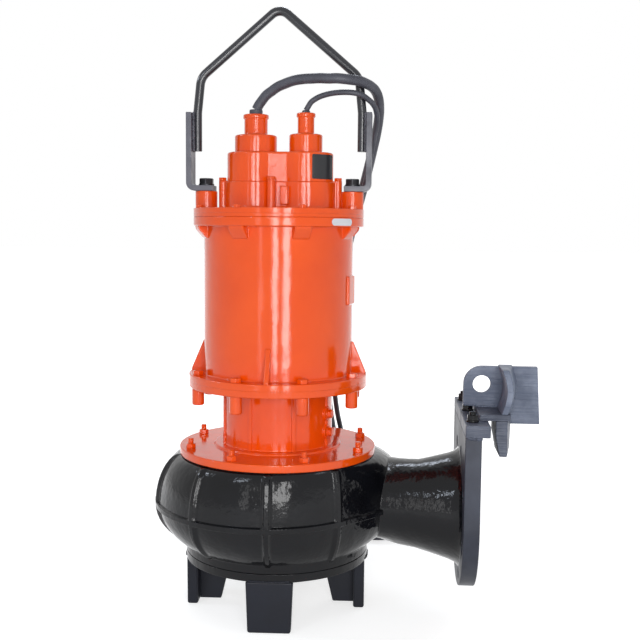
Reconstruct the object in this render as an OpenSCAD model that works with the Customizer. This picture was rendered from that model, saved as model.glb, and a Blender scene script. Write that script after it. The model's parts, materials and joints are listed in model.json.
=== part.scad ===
// Submersible sewage pump: a vertical motor in a finned-flange frame stands on an oil chamber,
// a scroll casing and four legs. The scroll turns its flow to a side branch with a guide claw,
// and a bent bar over the cover lifts the pump. Millimetres. The pump's axis is Z, the floor
// is Z = 0 and the discharge branch points along +X.

/* [Legs and suction cover] */
// Height of the suction cover's underside above the floor
leg_h = 79; // [60:1:110]
// Width of a leg's outer plate
leg_w = 77; // [50:1:90]
// Thickness of a leg's outer plate
leg_t = 20; // [12:1:20]
// Distance of a leg's outer face from the axis
leg_r = 160; // [158:1:162]
// Thickness of a leg's radial web
leg_web_t = 14; // [8:1:24]
// Height of the suction cover's lower boss
boss_h = 13; // [8:1:20]
// Thickness of the suction cover's rim
rim_t = 14; // [12:1:18]
// Radius of the suction inlet
inlet_r = 75; // [60:1:80]
// Radius of the casing's lower opening
lower_opening_r = 118; // [112:1:124]
// Pitch radius of the suction cover's bolts
suction_bolt_pr = 152; // [148:1:154]

/* [Scroll casing] */
// Height of the flow passage's centre above the casing's foot
passage_h = 83; // [80:1:90]
// Height of the casing
casing_h = 179; // [176:1:190]
// Height of the casing's foot ring
foot_ring_h = 23; // [18:1:28]
// Radius of the scroll at its tongue
scroll_start_r = 186; // [182:1:190]
// Growth of the scroll's radius in one turn
scroll_growth = 115; // [95:1:120]
// Wall of the casing
casing_wall = 12; // [8:1:14]
// Radius of the casing's upper collar
collar_r = 178; // [177:1:182]
// Radius of the impeller chamber
chamber_r = 150; // [146:1:150]
// Height of the casing's outer ribs
rib_h = 4; // [2:1:6]

/* [Discharge branch] */
// Distance of the flange's face from the axis
flange_x = 362; // [356:1:380]
// Thickness of the flange
flange_t = 28; // [24:1:32]
// Half the width of the flange and the radius of its lower edge
flange_r = 142.5; // [140:0.5:146]
// Height of the flange's straight top above its bore
flange_top = 157; // [150:1:165]
// Radius of the discharge bore
bore_r = 75; // [70:1:78]
// Pitch circle diameter of the flange's holes
flange_pcd = 240; // [236:1:244]
// Number of holes in the flange
flange_holes = 8; // [4:4:8]
// Radius of a hole in the flange
flange_hole_r = 11; // [9:0.5:12]
// Radius of the branch at its waist
waist_r = 76.5; // [72:0.5:80]
// Radius of the branch where it meets the flange
branch_end_r = 102; // [96:1:104]

/* [Guide claw] */
// Thickness of the ledge plate on the flange's top edge
ledge_t = 21; // [16:1:26]
// Depth of the ledge plate along the branch
ledge_depth = 42; // [40:1:46]
// Half the length of the ledge plate
ledge_half = 146; // [140:1:150]
// Thickness of the claw's base plate
claw_base_t = 11; // [8:1:16]
// Front edge of the claw
claw_front_y = -100; // [-105:1:-96]
// Thickness of the eye plate
eye_t = 12; // [10:1:16]
// Radius of the hole in the eye plate
eye_r = 16; // [12:1:18]
// Height of the hole above the claw's base plate
eye_h = 41; // [38:1:46]
// Gap between the discharge flange and the lug, for the pedestal's lip
lip_gap = 27; // [24:1:30]
// Length of the lug below the base plate
lug_l = 62.5; // [50:0.5:75]

/* [Oil housing] */
// Radius of the pump cover plate
cover_r = 180; // [178:1:184]
// Thickness of the pump cover plate
cover_t = 14; // [12:1:18]
// Radius of the oil chamber's neck
neck_r = 100; // [98:1:106]
// Wall of the oil chamber's neck
neck_wall = 14; // [10:1:16]
// Height of the oil chamber's neck
neck_h = 109; // [105:1:120]
// Thickness of each of the two flanges
mid_flange_t = 12; // [10:1:14]
// Pitch radius of the cover plate's studs
cover_stud_pr = 163; // [162:1:165]
// Number of bolts in each circular flange
ring_bolts = 8; // [8:1:8]

/* [Motor] */
// Outer radius of the motor's barrel
barrel_r = 135; // [134:1:138]
// Wall of the barrel
barrel_wall = 9; // [8:1:10]
// Height of the motor frame with its flanges
frame_h = 294; // [290:1:310]
// Thickness of the frame's top flange
top_flange_t = 16; // [14:1:20]
// Thickness of the upper bearing bracket's rim
bracket_rim_t = 6; // [5:1:8]
// Thickness of the top cover's flange
top_rim_t = 9; // [8:1:12]
// Radius of the stator's bore
stator_bore_r = 80.3; // [79:0.1:81]
// Radial air gap between rotor and stator
air_gap = 0.8; // [0.5:0.1:1.2]
// Number of slots in the stator
slots = 24; // [18:6:24]
// Height of the gussets on the frame's lower flange
gusset_h = 58; // [40:1:70]

/* [Shaft, bearings and seals] */
// Radius of the shaft at the impeller
shaft_end_r = 17.5; // [16:0.5:19]
// Radius of the shaft at the seals
shaft_seal_r = 22.5; // [21:0.5:24]
// Radius of the shaft in the lower bearing
lower_seat_r = 27.5; // [26:0.5:28.5]
// Radius of the shaft in the rotor
rotor_seat_r = 30; // [29:0.5:32]
// Radius of the shaft in the upper bearing
upper_seat_r = 20; // [18:0.5:21]
// Outer radius of the lower bearing
lower_bearing_r = 60; // [58:0.5:61]
// Width of the lower bearing
lower_bearing_w = 29; // [27:1:31]
// Outer radius of the upper bearing
upper_bearing_r = 45; // [43:0.5:46]
// Width of the upper bearing
upper_bearing_w = 23; // [21:1:25]
// Radius of a ball in the lower bearing
lower_ball_r = 8.5; // [7.5:0.1:9]
// Radius of a ball in the upper bearing
upper_ball_r = 6.5; // [5.5:0.1:7]
// Outer radius of the seals' fixed seats
seal_seat_r = 36; // [34:0.5:38]

/* [Impeller] */
// Outer radius of the impeller
impeller_r = 140; // [125:1:144]
// Height of the impeller's channels
channel_h = 80; // [70:1:80]
// Thickness of the impeller's shrouds
shroud_t = 10; // [6:1:10]
// Thickness of a vane
vane_t = 10; // [6:1:14]
// Number of vanes
vanes = 3; // [2:1:4]
// Angle that a vane winds round the hub
vane_wrap = 150; // [110:5:170]

/* [Top cover and terminal box] */
// Height of the top cover's body
tier_h = 48; // [44:1:56]
// Height of the terminal box
box_h = 53; // [48:1:60]
// Wall of the top cover and the terminal box
box_wall = 7; // [5:1:8]
// Distance of the left lobe's centre from the axis
lobe_left = 44; // [42:1:46]
// Distance of the right lobe's centre from the axis
lobe_right = 48; // [46:1:50]
// Radius of the terminal box's lobes
lobe_r = 50; // [48:1:51]
// Half the depth of the flat between the lobes
mid_half = 41; // [38:1:44]
// Radius of the bosses under the lifting brackets
lift_boss_r = 20; // [18:1:20]
// Height of the bosses under the lifting brackets
lift_boss_h = 32; // [28:1:36]

/* [Cable glands] */
// Radius of the power gland's base
power_base_r = 38; // [36:1:40]
// Height of the power gland's base
power_base_h = 31; // [26:1:36]
// Height of the power gland's tube
power_tube_h = 37; // [30:1:44]
// Radius of the power gland's tube
power_tube_r = 21; // [19:0.5:23]
// Radius of the control gland's base
control_base_r = 30; // [28:1:32]
// Height of the control gland's base
control_base_h = 33; // [28:1:38]
// Height of the control gland's tube
control_tube_h = 38; // [30:1:44]
// Radius of the control gland's tube
control_tube_r = 15; // [13:0.5:17]

/* [Lifting gear] */
// Distance of a lifting bracket's inner face from the axis
bracket_x = 157; // [156:1:160]
// Thickness of a lifting bracket
bracket_t = 10; // [8:1:12]
// Width of a lifting bracket
bracket_w = 40; // [34:1:40]
// Height of a lifting bracket
bracket_h = 140; // [130:1:150]
// Distance of a lifting bolt from the axis
lift_bolt_x = 133; // [133:1:135]
// Radius of the lifting bar
bar_r = 8; // [7:0.5:9]
// Length of the bar that is welded to each bracket
bar_lap = 69; // [50:1:90]
// Height of the bar's shoulders above the brackets' tops
shoulder_h = 63; // [50:1:80]
// Distance of the bar's shoulders from the axis
shoulder_x = 142.5; // [138:0.5:146]
// Height of the bar's peak above its shoulders, to the corner of its centre line
peak_h = 123; // [110:1:140]

/* [Cables] */
// Radius of the power cable
power_cable_r = 9; // [7:0.5:9]
// Radius of the control cable
control_cable_r = 5; // [4:0.5:5]

/* [Fits] */
// Radial clearance of a fitted spigot
fit = 0.1; // [0.05:0.05:0.15]
// Radial clearance of a bearing ring on its seat
seat_fit = 0.03; // [0.02:0.01:0.05]
// Radial clearance of a bolt in a plain hole
bolt_gap = 0.4; // [0.2:0.1:0.5]
// Clearance between rolling or turning parts and their neighbours
turning_gap = 0.35; // [0.3:0.05:0.5]

/* [Hidden] */
boss_gap = 3; // gap between the inlet boss and the legs
rim_over = 8; // the rim past the legs
foot_web = 55; // depth of a leg at its foot
top_web = 74; // depth of a leg at its top
mid_flange_over = 28; // the lower flange past the barrel
mid_bolt_out = 14.4; // the lower bolts' circle past the barrel
top_flange_over = 19; // the upper flange past the barrel
top_bolt_in = 8; // the upper bolts' circle inside its flange
core_low_room = 80; // room below the stator core
core_top_room = 49; // room above the stator core
boss_r = leg_r - leg_t - boss_gap; // Radius of the suction cover's lower boss
rim_r = leg_r + rim_over; // Radius of the suction cover's rim and of the casing's foot ring
leg_foot_r = leg_r - foot_web; // Radius where the web ends at the floor
leg_top_r = leg_r - top_web; // Radius where the web ends at its top
mid_flange_r = barrel_r + mid_flange_over; // Radius of the flanges between the oil housing and the motor
mid_bolt_pr = barrel_r + mid_bolt_out; // Pitch radius of the bolts between the flanges
top_flange_r = barrel_r + top_flange_over; // Radius of the flanges at the top of the motor
top_bolt_pr = top_flange_r - top_bolt_in; // Pitch radius of the top cover's bolts
core_l = frame_h - core_low_room - core_top_room; // Length of the stator core
$fn = 96;
skin = 0.3; // gap between soft or glued pieces and their neighbours
eps = 1; // overrun of a cut past the face it opens
deep = 400; // length of a cut that passes through everything
smooth = 32; // facets of the small rounds inside hulls

// Heights of the main joints, from the floor up
rim_z = leg_h + boss_h;
casing_z = rim_z + rim_t;
foot_top_z = casing_z + foot_ring_h;
passage_z = casing_z + passage_h;
cover_z = casing_z + casing_h;
neck_z = cover_z + cover_t;
mid_z = neck_z + neck_h;
frame_z = mid_z + mid_flange_t;
frame_top_z = frame_z + frame_h;
rim_top_z = frame_top_z + bracket_rim_t;
tier_z = rim_top_z + top_rim_t;
box_z = tier_z + tier_h;
gland_z = box_z + box_h;
bracket_z = tier_z + lift_boss_h;
bracket_top_z = bracket_z + bracket_h;

// Suction cover and wear ring
spigot_h = 28;
wear_ring_h = 18;
wear_ring_r = 98;
neck_gap_r = inlet_r + 13; // outer radius of the impeller's neck
counterbore_h = 6.5;
counterbore_r = 10.5;
edge_break = 2;

// Fasteners: shank radius, width across flats and head height
m8 = [4, 13, 5.5];
m10 = [5, 16, 6.4];
m12 = [6, 18, 7.5];
m16 = [8, 24, 10];
washer_t = 3;
half_step = 360 / ring_bolts / 2; // no bolt lies on the X or Y axis

// Scroll: angles run clockwise from the tongue, seen from above
tongue_a = -45;
fade_a = 270; // where the scroll starts to fall back into the branch
scroll_low_z = foot_top_z - 11;
scroll_high_z = cover_z - 17;
low_flare_r = rim_r - 5;
ring_step = 10;
rib_step = 45;
rib_a = 1.8; // half a rib's angle at its foot
rib_top_a = 1.2; // half a rib's angle at its top
seam_half = 4.5;
seam_top_half = 3;

// Discharge branch
waist_x = 186;
waist_z = passage_z + 13.5;
bore_l = 62;
bore_step = 1.5;
flange_back_x = flange_x - flange_t;
ledge_z = passage_z + flange_top;
ledge_x = flange_back_x;
claw_bolt_x = flange_back_x + flange_t / 2;
claw_bolt_y = 108;
claw_bolt_deep = 34;

// Guide claw
claw_z = ledge_z + ledge_t;
claw_base_x = flange_x - 1;
lug_x = flange_x + lip_gap;
lug_front_w = 20;
lug_back_w = 35;
claw_base_end_x = lug_x + lug_front_w + 5;
eye_front_y = claw_front_y + 78;
claw_back_y = eye_front_y + eye_t + 30;
eye_x = flange_x + 8.5;
eye_plate_z = claw_z + claw_base_t;
ear_r = 32.5;
arm_x = flange_x + 113;
arm_drop = 19;
shoe_w = 11;
shoe_bow = 9;
shoe_draft = 14;
shoe_steps = 4;

// Oil housing
spigot_z = cover_z - 23;
floor_top_z = neck_z + 4;
seal_hole_r = shaft_seal_r + 7.5;
low_seat_z = floor_top_z - 15;
plinth_r = neck_r + 16;
plinth_h = 4;
boss_stub_r = 11;
boss_stub_h = 31;
neck_rib_w = 8;
neck_rib_h = 3;
plug_r = 7;
plug_a = -23;
plug_low_z = neck_z + 31;
plug_step = 33;
oil_ring_r = 1.85; // section radius of the sealing rings
groove_w = 4.2;
groove_d = 3.8;

// Lower bearing housing, from its foot in the oil chamber up
housing_z = frame_z - 22;
up_seat_z = housing_z + 14;
lower_bearing_z = frame_z + 8;
lower_bearing_top_z = lower_bearing_z + lower_bearing_w;
housing_hub_r = lower_bearing_r + 14;
housing_top_z = lower_bearing_top_z + 5;
housing_disc_t = 10;
chamber_oil_r = neck_r - neck_wall;
cap_t = 8;
cap_screw_pr = lower_bearing_r + 7;

// Motor
frame_bore_r = barrel_r - barrel_wall;
core_z = frame_z + core_low_room;
core_top_z = core_z + core_l;
winding_l = 24;
winding_gap = 2;
slot_w = 8;
slot_in_r = stator_bore_r + 3.7;
slot_out_r = frame_bore_r - 22;
slot_mouth = 3;
winding_out_r = frame_bore_r - 8;
rotor_r = stator_bore_r - air_gap;
rotor_over = 2;
end_ring_h = 12;
fin_h = 7;
lug_w = 30;
lug_h = 22;
lug_proud = 17;
pad_w = 46;
pad_h = 52;
pad_t = 4;
pad_a = -10;
pad_z = frame_z + 139;
gusset_t = 9;

// Upper bearing bracket
upper_bearing_z = frame_top_z - 22;
hub_low_z = upper_bearing_z - 6;
bracket_hub_r = upper_bearing_r + 11;
window_r = 10;
window_pr = 72;
bearing_lid_t = 6;

// Shaft
shaft_low_z = passage_z + 22;
hub_top_z = spigot_z;
shaft_top_z = rim_top_z - 4;
key_w = 10;
key_h = 8;
key_l = 40;
rotor_shoulder_z = core_z - 5;

// Seals
seal_ring_h = 15;
seal_ring_r = 33;
probe_r = 3;
probe_pr = chamber_oil_r - 8;
probe_l = 40;
probe_spot_r = 9;
spring_r = 28;
spring_wire_r = 2;
spring_turns = 5;

// Impeller
neck_low_z = casing_z + 12;
front_shroud_z = passage_z - channel_h / 2 - shroud_t + 3;
vane_z = front_shroud_z + shroud_t;
back_shroud_z = vane_z + channel_h;
hub_r = 34;
hub_low_z2 = passage_z + 21;
vane_start_r = 40;
vane_steps = 12;
bolt_washer_r = 26;
bolt_washer_t = 6;

// Top cover and terminal box
tier_grow = 4;
tier_wall = box_wall + tier_grow;
board_t = 8;
board_z = box_z - board_t;
box_roof = 8;
column_r = 7;
column_over = 3;
column_deep = 24;
columns = [[-lobe_left - lobe_r - 9, 0], [lobe_right + lobe_r + 9, 0],
           [-8, -mid_half - 13], [-8, mid_half + 13]];
pad_boss = [15, 10, 33];
stud_r = 3;
stud_nut_h = 4;
stud_up = 12;
stud_under = 8;
stud_spread = 6;
tag_t = 1;

// Glands
power_x = -lobe_left + 1.5;
control_x = lobe_right;
gland_spigot_h = box_roof;
power_lip = 2;
control_lip = 2;
lip_h = 7;
power_grommet_r = 12;
control_grommet_r = 8;
grommet_deep = 40;
power_grommet_up = 9;
control_grommet_up = 5;
lead_r = 2.5;
lead_gap = 4;
power_exit_z = gland_z + power_base_h + power_tube_h + power_grommet_up;
control_exit_z = gland_z + control_base_h + control_tube_h + control_grommet_up;

// Lifting gear
bracket_out_r = 15;
bracket_foot_x = 118;
bar_x = bracket_x - bar_r;
bar_low_z = bracket_top_z - bar_lap;
shoulder_z = bracket_top_z + shoulder_h;
peak_z = shoulder_z + peak_h;
shoulder_bend_r = 32;
peak_bend_r = 22;

// Cable routes, chosen by hand: out of the gland, past the lifting bar, down behind the
// motor and along the floor to the coil
power_route = [
  [-42, 0, 907], [-37, 0, 916], [-31, -1, 924], [-24, -3, 932], [-14, -5, 939], [-3, -8, 946],
  [10, -12, 951], [27, -17, 956], [45, -22, 958], [60, -27, 958], [75, -31, 958], [90, -34, 957],
  [104, -36, 957], [118, -35, 956], [131, -31, 955], [144, -25, 954], [155, -16, 951],
  [165, -4, 947], [172, 9, 941], [177, 23, 931], [179, 37, 917], [178, 52, 898], [174, 66, 873],
  [167, 80, 842], [158, 93, 805], [147, 105, 763], [134, 118, 716], [121, 129, 665],
  [112, 138, 615], [103, 147, 560], [94, 156, 500], [84, 166, 432], [80, 177, 378],
  [82, 196, 330], [87, 222, 285], [92, 252, 238], [95, 277, 190], [97, 298, 140], [97, 319, 95],
  [95, 340, 60], [91, 361, 35], [87, 382, 20], [83, 402, 12], [81, 422, 9], [80, 440, 9]];
control_route = [
  [48, 0, 906], [52, 0, 913], [57, -2, 920], [64, -4, 925], [72, -6, 929], [82, -9, 932],
  [93, -13, 934], [107, -18, 935], [121, -21, 935], [134, -21, 934], [147, -18, 931],
  [158, -10, 925], [168, 2, 917], [174, 16, 905], [175, 30, 887], [170, 44, 861], [164, 57, 830],
  [158, 69, 797], [150, 81, 766], [140, 92, 729], [129, 103, 686], [118, 113, 635],
  [110, 123, 570], [103, 135, 500], [97, 146, 432], [96, 158, 378], [100, 177, 330],
  [107, 205, 285], [114, 237, 238], [119, 263, 190], [119, 285, 140], [119, 307, 95],
  [117, 330, 56], [114, 352, 28], [112, 373, 12], [109, 395, 6], [107, 416, 5], [105, 430, 5],
  [105, 440, 5]];
tube_sides = 12;
power_coil_at = [-40, 440];
power_coil_mid_r = 101.5;
power_coil_turns = 3; // turns side by side and above each other
control_coil_at = [180, 440];
control_coil_mid_r = 60;
control_coil_turns = 4;

// Cable ends, lying on the coils
power_end_at = [-70, 356];
control_end_at = [222, 386];
boot_l = 42;
core_end_l = 70;
core_r = 2.75;
lug_end_l = 16;
control_lug_l = 8;
boot_wall = 1.5;
control_boot_l = 26;
control_core_l = 34;
control_core_r = 1.2;

// Helpers

// Children copied round the axis
module around(n, r, first = 0) {
  for (i = [0:n - 1]) rotate([0, 0, first + i * 360 / n]) translate([r, 0, 0]) children();
}

// Solid of revolution from a closed outline of [radius, height] points
module turned(outline) {
  rotate_extrude() polygon(outline);
}

// Plain ring
module ring(outer, inner, low, high) {
  turned([[inner, low], [outer, low], [outer, high], [inner, high]]);
}

// Hexagon head or nut, standing on z = 0
module hex(size, high) {
  cylinder(r = size[1] / 2 / cos(30), h = high, $fn = 6);
}

// Bolt with its head standing on z = 0 and its shank below
module bolt(size, long) {
  hex(size, size[2]);
  translate([0, 0, -long]) cylinder(r = size[0], h = long);
}

// Vertical hole, from z down by deep_by
module hole(r, z, deep_by) {
  translate([0, 0, z - deep_by]) cylinder(r = r, h = deep_by + eps);
}

// Groove for a sealing ring in a spigot
module groove(r, z) {
  ring(r + eps, r - groove_d, z - groove_w / 2, z + groove_w / 2);
}

// Sealing ring in its groove
module seal_ring(r, z) {
  translate([0, 0, z]) rotate_extrude()
    translate([r - oil_ring_r, 0]) circle(r = oil_ring_r, $fn = 24);
}

function unit(v) = v / norm(v);
function heading(p, i) = unit(p[min(i + 1, len(p) - 1)] - p[max(i - 1, 0)]);
// Side vectors that don't twist along the route
function sides_of(p, s, i = 0) = i == len(p) ? [] :
  let (t = heading(p, i), q = unit(s - t * (s * t))) concat([q], sides_of(p, q, i + 1));
function ring_at(c, t, s, r, n) =
  let (b = cross(t, s)) [for (k = [0:n - 1]) c + r * (cos(360 * k / n) * s + sin(360 * k / n) * b)];
// Quads between ring i and ring i + 1
function skin_quads(i, n) = [for (k = [0:n - 1])
  [i * n + k, (i + 1) * n + k, (i + 1) * n + (k + 1) % n, i * n + (k + 1) % n]];

// Round tube swept along a route
module tube(route, r, n, start_side = [0, 1, 0]) {
  sides = sides_of(route, start_side);
  last = len(route) - 1;
  polyhedron(
    points = [for (i = [0:last]) each ring_at(route[i], heading(route, i), sides[i], r, n)],
    faces = concat([[for (k = [0:n - 1]) k]],
      [for (i = [0:last - 1]) each skin_quads(i, n)],
      [[for (k = [n - 1:-1:0]) last * n + k]]));
}

// Closed loop of rings, each a list of m points
module closed_loop(rings) {
  n = len(rings);
  m = len(rings[0]);
  polyhedron(points = [for (r = rings) each r],
    faces = [for (i = [0:n - 1]) each [for (k = [0:m - 1])
      let (a = i * m + k, b = i * m + (k + 1) % m,
           c = ((i + 1) % n) * m + k, d = ((i + 1) % n) * m + (k + 1) % m)
      each [[a, d, b], [a, c, d]]]]);
}

// Legs, suction cover and its bolts

module leg() {
  translate([leg_r - leg_t, -leg_w / 2, 0]) cube([leg_t, leg_w, rim_z]);
  rotate([90, 0, 0]) linear_extrude(leg_web_t, center = true)
    polygon([[leg_foot_r, 0], [leg_r - leg_t + eps, 0], [leg_r - leg_t + eps, leg_h],
             [leg_top_r, leg_h]]);
}

module support_legs() {
  color("#363a4a") around(4, 0) leg();
}

module suction_cover() {
  spigot_r = lower_opening_r - fit;
  color("#26272c") difference() {
    turned([[inlet_r, leg_h], [boss_r - edge_break, leg_h], [boss_r, leg_h + edge_break],
      [boss_r, rim_z], [rim_r, rim_z], [rim_r, casing_z], [spigot_r, casing_z],
      [spigot_r, casing_z + spigot_h], [wear_ring_r, casing_z + spigot_h],
      [wear_ring_r, casing_z + spigot_h - wear_ring_h],
      [inlet_r, casing_z + spigot_h - wear_ring_h]]);
    around(ring_bolts, suction_bolt_pr, half_step) {
      hole(m10[0] + bolt_gap, casing_z, rim_t + eps);
      translate([0, 0, rim_z - eps]) cylinder(r = counterbore_r, h = counterbore_h + eps);
    }
    groove(spigot_r, casing_z + spigot_h / 3);
  }
}

module suction_bolts() {
  color("#3b3d42") around(ring_bolts, suction_bolt_pr, half_step)
    translate([0, 0, rim_z + counterbore_h]) mirror([0, 0, 1]) bolt(m10, rim_t);
}

module wear_ring() {
  color("#a8793c") ring(wear_ring_r - seat_fit, neck_gap_r + turning_gap,
    casing_z + spigot_h - wear_ring_h, casing_z + spigot_h);
}

// Scroll casing

function fade(u) = u < 0 ? 0 : u > 1 ? 1 : u * u * (3 - 2 * u);
// Scroll radius at an angle run through clockwise from the tongue
function scroll_r(a) =
  let (grown = scroll_start_r + scroll_growth * min(a, fade_a) / 360)
  grown + (scroll_start_r - grown) * fade((a - fade_a) / (360 - fade_a));
// Extra height of the vertical ribs
function rib_at(a) =
  let (off = abs((a + rib_step / 2) % rib_step - rib_step / 2))
  a > fade_a - rib_step / 2 ? 0 : off < rib_top_a + 0.01 ? rib_h : 0;
// Outline of the scroll's section: radius and height from the inner edge round the outside
function section(r_max, inner, shrink, rib, seam) =
  let (low = scroll_low_z + shrink * 1.2, high = scroll_high_z - shrink / 2,
       low_r = low_flare_r - shrink, high_r = collar_r - 6 - shrink, n = 6)
  concat([[inner, low], [low_r, low]],
    [for (i = [1:n - 1]) let (t = 90 * i / n)
      [low_r + (r_max - low_r) * pow(sin(t), 1.6) + rib,
       low + (passage_z - low) * (1 - cos(t))]],
    seam ? [[r_max + rib, passage_z - seam_half],
            [r_max + max(rib, rib_h), passage_z - seam_top_half],
            [r_max + max(rib, rib_h), passage_z + seam_top_half],
            [r_max + rib, passage_z + seam_half]] : [[r_max, passage_z]],
    [for (i = [n - 1:-1:1]) let (t = 90 * i / n)
      [high_r + (r_max - high_r) * sin(t) + rib,
       high - (high - passage_z) * (1 - cos(t))]],
    [[high_r, high], [inner, high]]);
function placed(outline, a) = [for (p = outline) [p[0] * cos(tongue_a - a), p[0] * sin(tongue_a - a), p[1]]];
plain_angles = [for (a = [0:ring_step:359]) a];
rib_angles = [for (c = [rib_step:rib_step:fade_a - rib_step], o = [-rib_a, -rib_top_a, 0, rib_top_a, rib_a]) c + o];
function near_rib(a) = a > rib_step / 2 && a < fade_a - rib_step / 2
  && abs((a + rib_step / 2) % rib_step - rib_step / 2) < rib_a + 1.5;
function sorted(v) = len(v) < 2 ? v :
  let (p = v[floor(len(v) / 2)])
  concat(sorted([for (x = v) if (x < p) x]), [p], sorted([for (x = v) if (x > p) x]));
outer_angles = sorted(concat([for (a = plain_angles) if (!near_rib(a)) a], rib_angles));

module scroll_outside() {
  closed_loop([for (a = outer_angles)
    placed(section(scroll_r(a), lower_opening_r - 4, 0, rib_at(a), true), a)]);
}

module scroll_inside() {
  closed_loop([for (a = plain_angles)
    placed(section(scroll_r(a) - casing_wall, lower_opening_r + 8, casing_wall, 0, false), a)]);
}

// Disc across the branch, for its hulls
module branch_disc(x, z, r) {
  translate([x, 0, z]) rotate([0, 90, 0]) cylinder(r = r, h = 1, $fn = 48);
}

module bend_disc(r) {
  rotate([0, 0, 38]) translate([185, 0, passage_z + 4]) rotate([90, 0, 0])
    cylinder(r = r, h = 1, center = true, $fn = 48);
}

module flange_plate() {
  translate([flange_back_x, 0, passage_z]) rotate([90, 0, 90]) linear_extrude(flange_t)
    union() {
      circle(r = flange_r);
      translate([-flange_r, 0]) square([2 * flange_r, flange_top]);
    }
}

module volute_casing() {
  chamber_z = casing_z + spigot_h;
  color("#17171b") difference() {
    union() {
      scroll_outside();
      ring(rim_r, lower_opening_r - eps, casing_z, foot_top_z);
      ring(collar_r, chamber_r - eps, scroll_high_z - 20, cover_z);
      hull() {
        branch_disc(waist_x, waist_z, waist_r);
        branch_disc(flange_back_x, passage_z, branch_end_r);
      }
      hull() {
        bend_disc(66);
        branch_disc(waist_x, waist_z, waist_r);
      }
      flange_plate();
    }
    scroll_inside();
    translate([0, 0, casing_z - eps]) cylinder(r = lower_opening_r, h = spigot_h + 2 * eps);
    translate([0, 0, chamber_z]) cylinder(r = chamber_r, h = casing_h);
    hull() {
      branch_disc(waist_x - 30, waist_z, waist_r - casing_wall - 2);
      branch_disc(flange_x - bore_l + 2, passage_z, bore_r - bore_step);
    }
    translate([flange_x - bore_l, 0, passage_z]) rotate([0, 90, 0])
      cylinder(r = bore_r, h = bore_l + eps);
    translate([flange_back_x - eps, 0, passage_z]) rotate([0, 90, 0])
      around(flange_holes, flange_pcd / 2, 180 / flange_holes)
        cylinder(r = flange_hole_r, h = flange_t + 2 * eps);
    for (y = [-claw_bolt_y, 0, claw_bolt_y]) translate([claw_bolt_x, y, 0])
      hole(m12[0] + fit, ledge_z, claw_bolt_deep);
    around(ring_bolts, cover_stud_pr, half_step) hole(m10[0] + fit, cover_z, 30);
    around(ring_bolts, suction_bolt_pr, half_step)
      translate([0, 0, casing_z - eps]) cylinder(r = m10[0] + fit, h = 12 + eps);
  }
}

// Guide claw on its ledge

module claw_ledge() {
  color("#5a5d6b") difference() {
    translate([ledge_x, -ledge_half, ledge_z]) cube([ledge_depth, 2 * ledge_half, ledge_t]);
    for (y = [-claw_bolt_y, 0, claw_bolt_y]) translate([claw_bolt_x, y, 0])
      hole(m12[0] + bolt_gap, claw_z, ledge_t + eps);
  }
}

module eye_plate() {
  left = eye_x - ear_r;
  top = eye_plate_z + eye_h + ear_r;
  translate([0, eye_front_y + eye_t, 0]) rotate([90, 0, 0]) linear_extrude(eye_t) union() {
    translate([eye_x, eye_plate_z + eye_h]) circle(r = ear_r);
    polygon([[left, eye_plate_z + 2], [claw_base_x, eye_plate_z],
      [claw_base_end_x, eye_plate_z], [claw_base_end_x, claw_z - arm_drop],
      [arm_x, claw_z - arm_drop], [arm_x - 6, top], [eye_x, top],
      [eye_x, eye_plate_z + eye_h], [left, eye_plate_z + eye_h]]);
  }
}

// Thin slab in an XZ outline at a given Y, for the lug's and the shoe's hulls
module slab(y, outline) {
  translate([0, y + 0.5, 0]) rotate([90, 0, 0]) linear_extrude(0.5) polygon(outline);
}

module lug() {
  low = claw_z - lug_l;
  knee = claw_z - 26;
  hull() {
    slab(claw_front_y, [[lug_x, claw_z], [lug_x + lug_front_w, claw_z],
      [lug_x + lug_front_w, low], [lug_x + 7, low], [lug_x, knee]]);
    slab(eye_front_y, [[lug_x, claw_z], [lug_x + lug_back_w, claw_z],
      [lug_x + lug_back_w - 2, low], [lug_x + 7, low], [lug_x, knee]]);
  }
}

// Left edge of the curved guide shoe, as a share of its height
function shoe_x(s) = lug_x + 9 + shoe_bow * sin(180 * s);
function shoe_z(s) = eye_plate_z + s * (eye_h + ear_r + 4);

module shoe() {
  for (i = [0:shoe_steps - 1]) {
    s = i / shoe_steps;
    e = (i + 1) / shoe_steps;
    hull() {
      slab(claw_front_y, [[shoe_x(s), shoe_z(s)], [shoe_x(s) + shoe_w, shoe_z(s)],
        [shoe_x(e) + shoe_w, shoe_z(e)], [shoe_x(e), shoe_z(e)]]);
      slab(eye_front_y, [[shoe_x(s), shoe_z(s)], [shoe_x(s) + shoe_w + shoe_draft, shoe_z(s)],
        [shoe_x(e) + shoe_w + shoe_draft, shoe_z(e)], [shoe_x(e), shoe_z(e)]]);
    }
  }
}

module guide_claw() {
  color("#565a69") difference() {
    union() {
      translate([claw_base_x, claw_front_y, claw_z])
        cube([claw_base_end_x - claw_base_x, claw_back_y - claw_front_y, claw_base_t]);
      eye_plate();
      lug();
      shoe();
    }
    translate([eye_x, 0, eye_plate_z + eye_h]) rotate([90, 0, 0])
      cylinder(r = eye_r, h = deep, center = true);
  }
}

module claw_bolts() {
  color("#15161a") for (y = [-claw_bolt_y, 0, claw_bolt_y])
    translate([claw_bolt_x, y, claw_z]) {
      ring(m12[1] / 2 + 2, m12[0] + bolt_gap / 2, 0, washer_t);
      translate([0, 0, washer_t]) difference() {
        hex(m12, m12[2] + 2);
        hole(m12[0] + fit, m12[2] + 3, m12[2] + 4);
      }
      translate([0, 0, -ledge_t - claw_bolt_deep + 2])
        cylinder(r = m12[0], h = ledge_t + claw_bolt_deep + 18);
    }
}

// Oil housing

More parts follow.
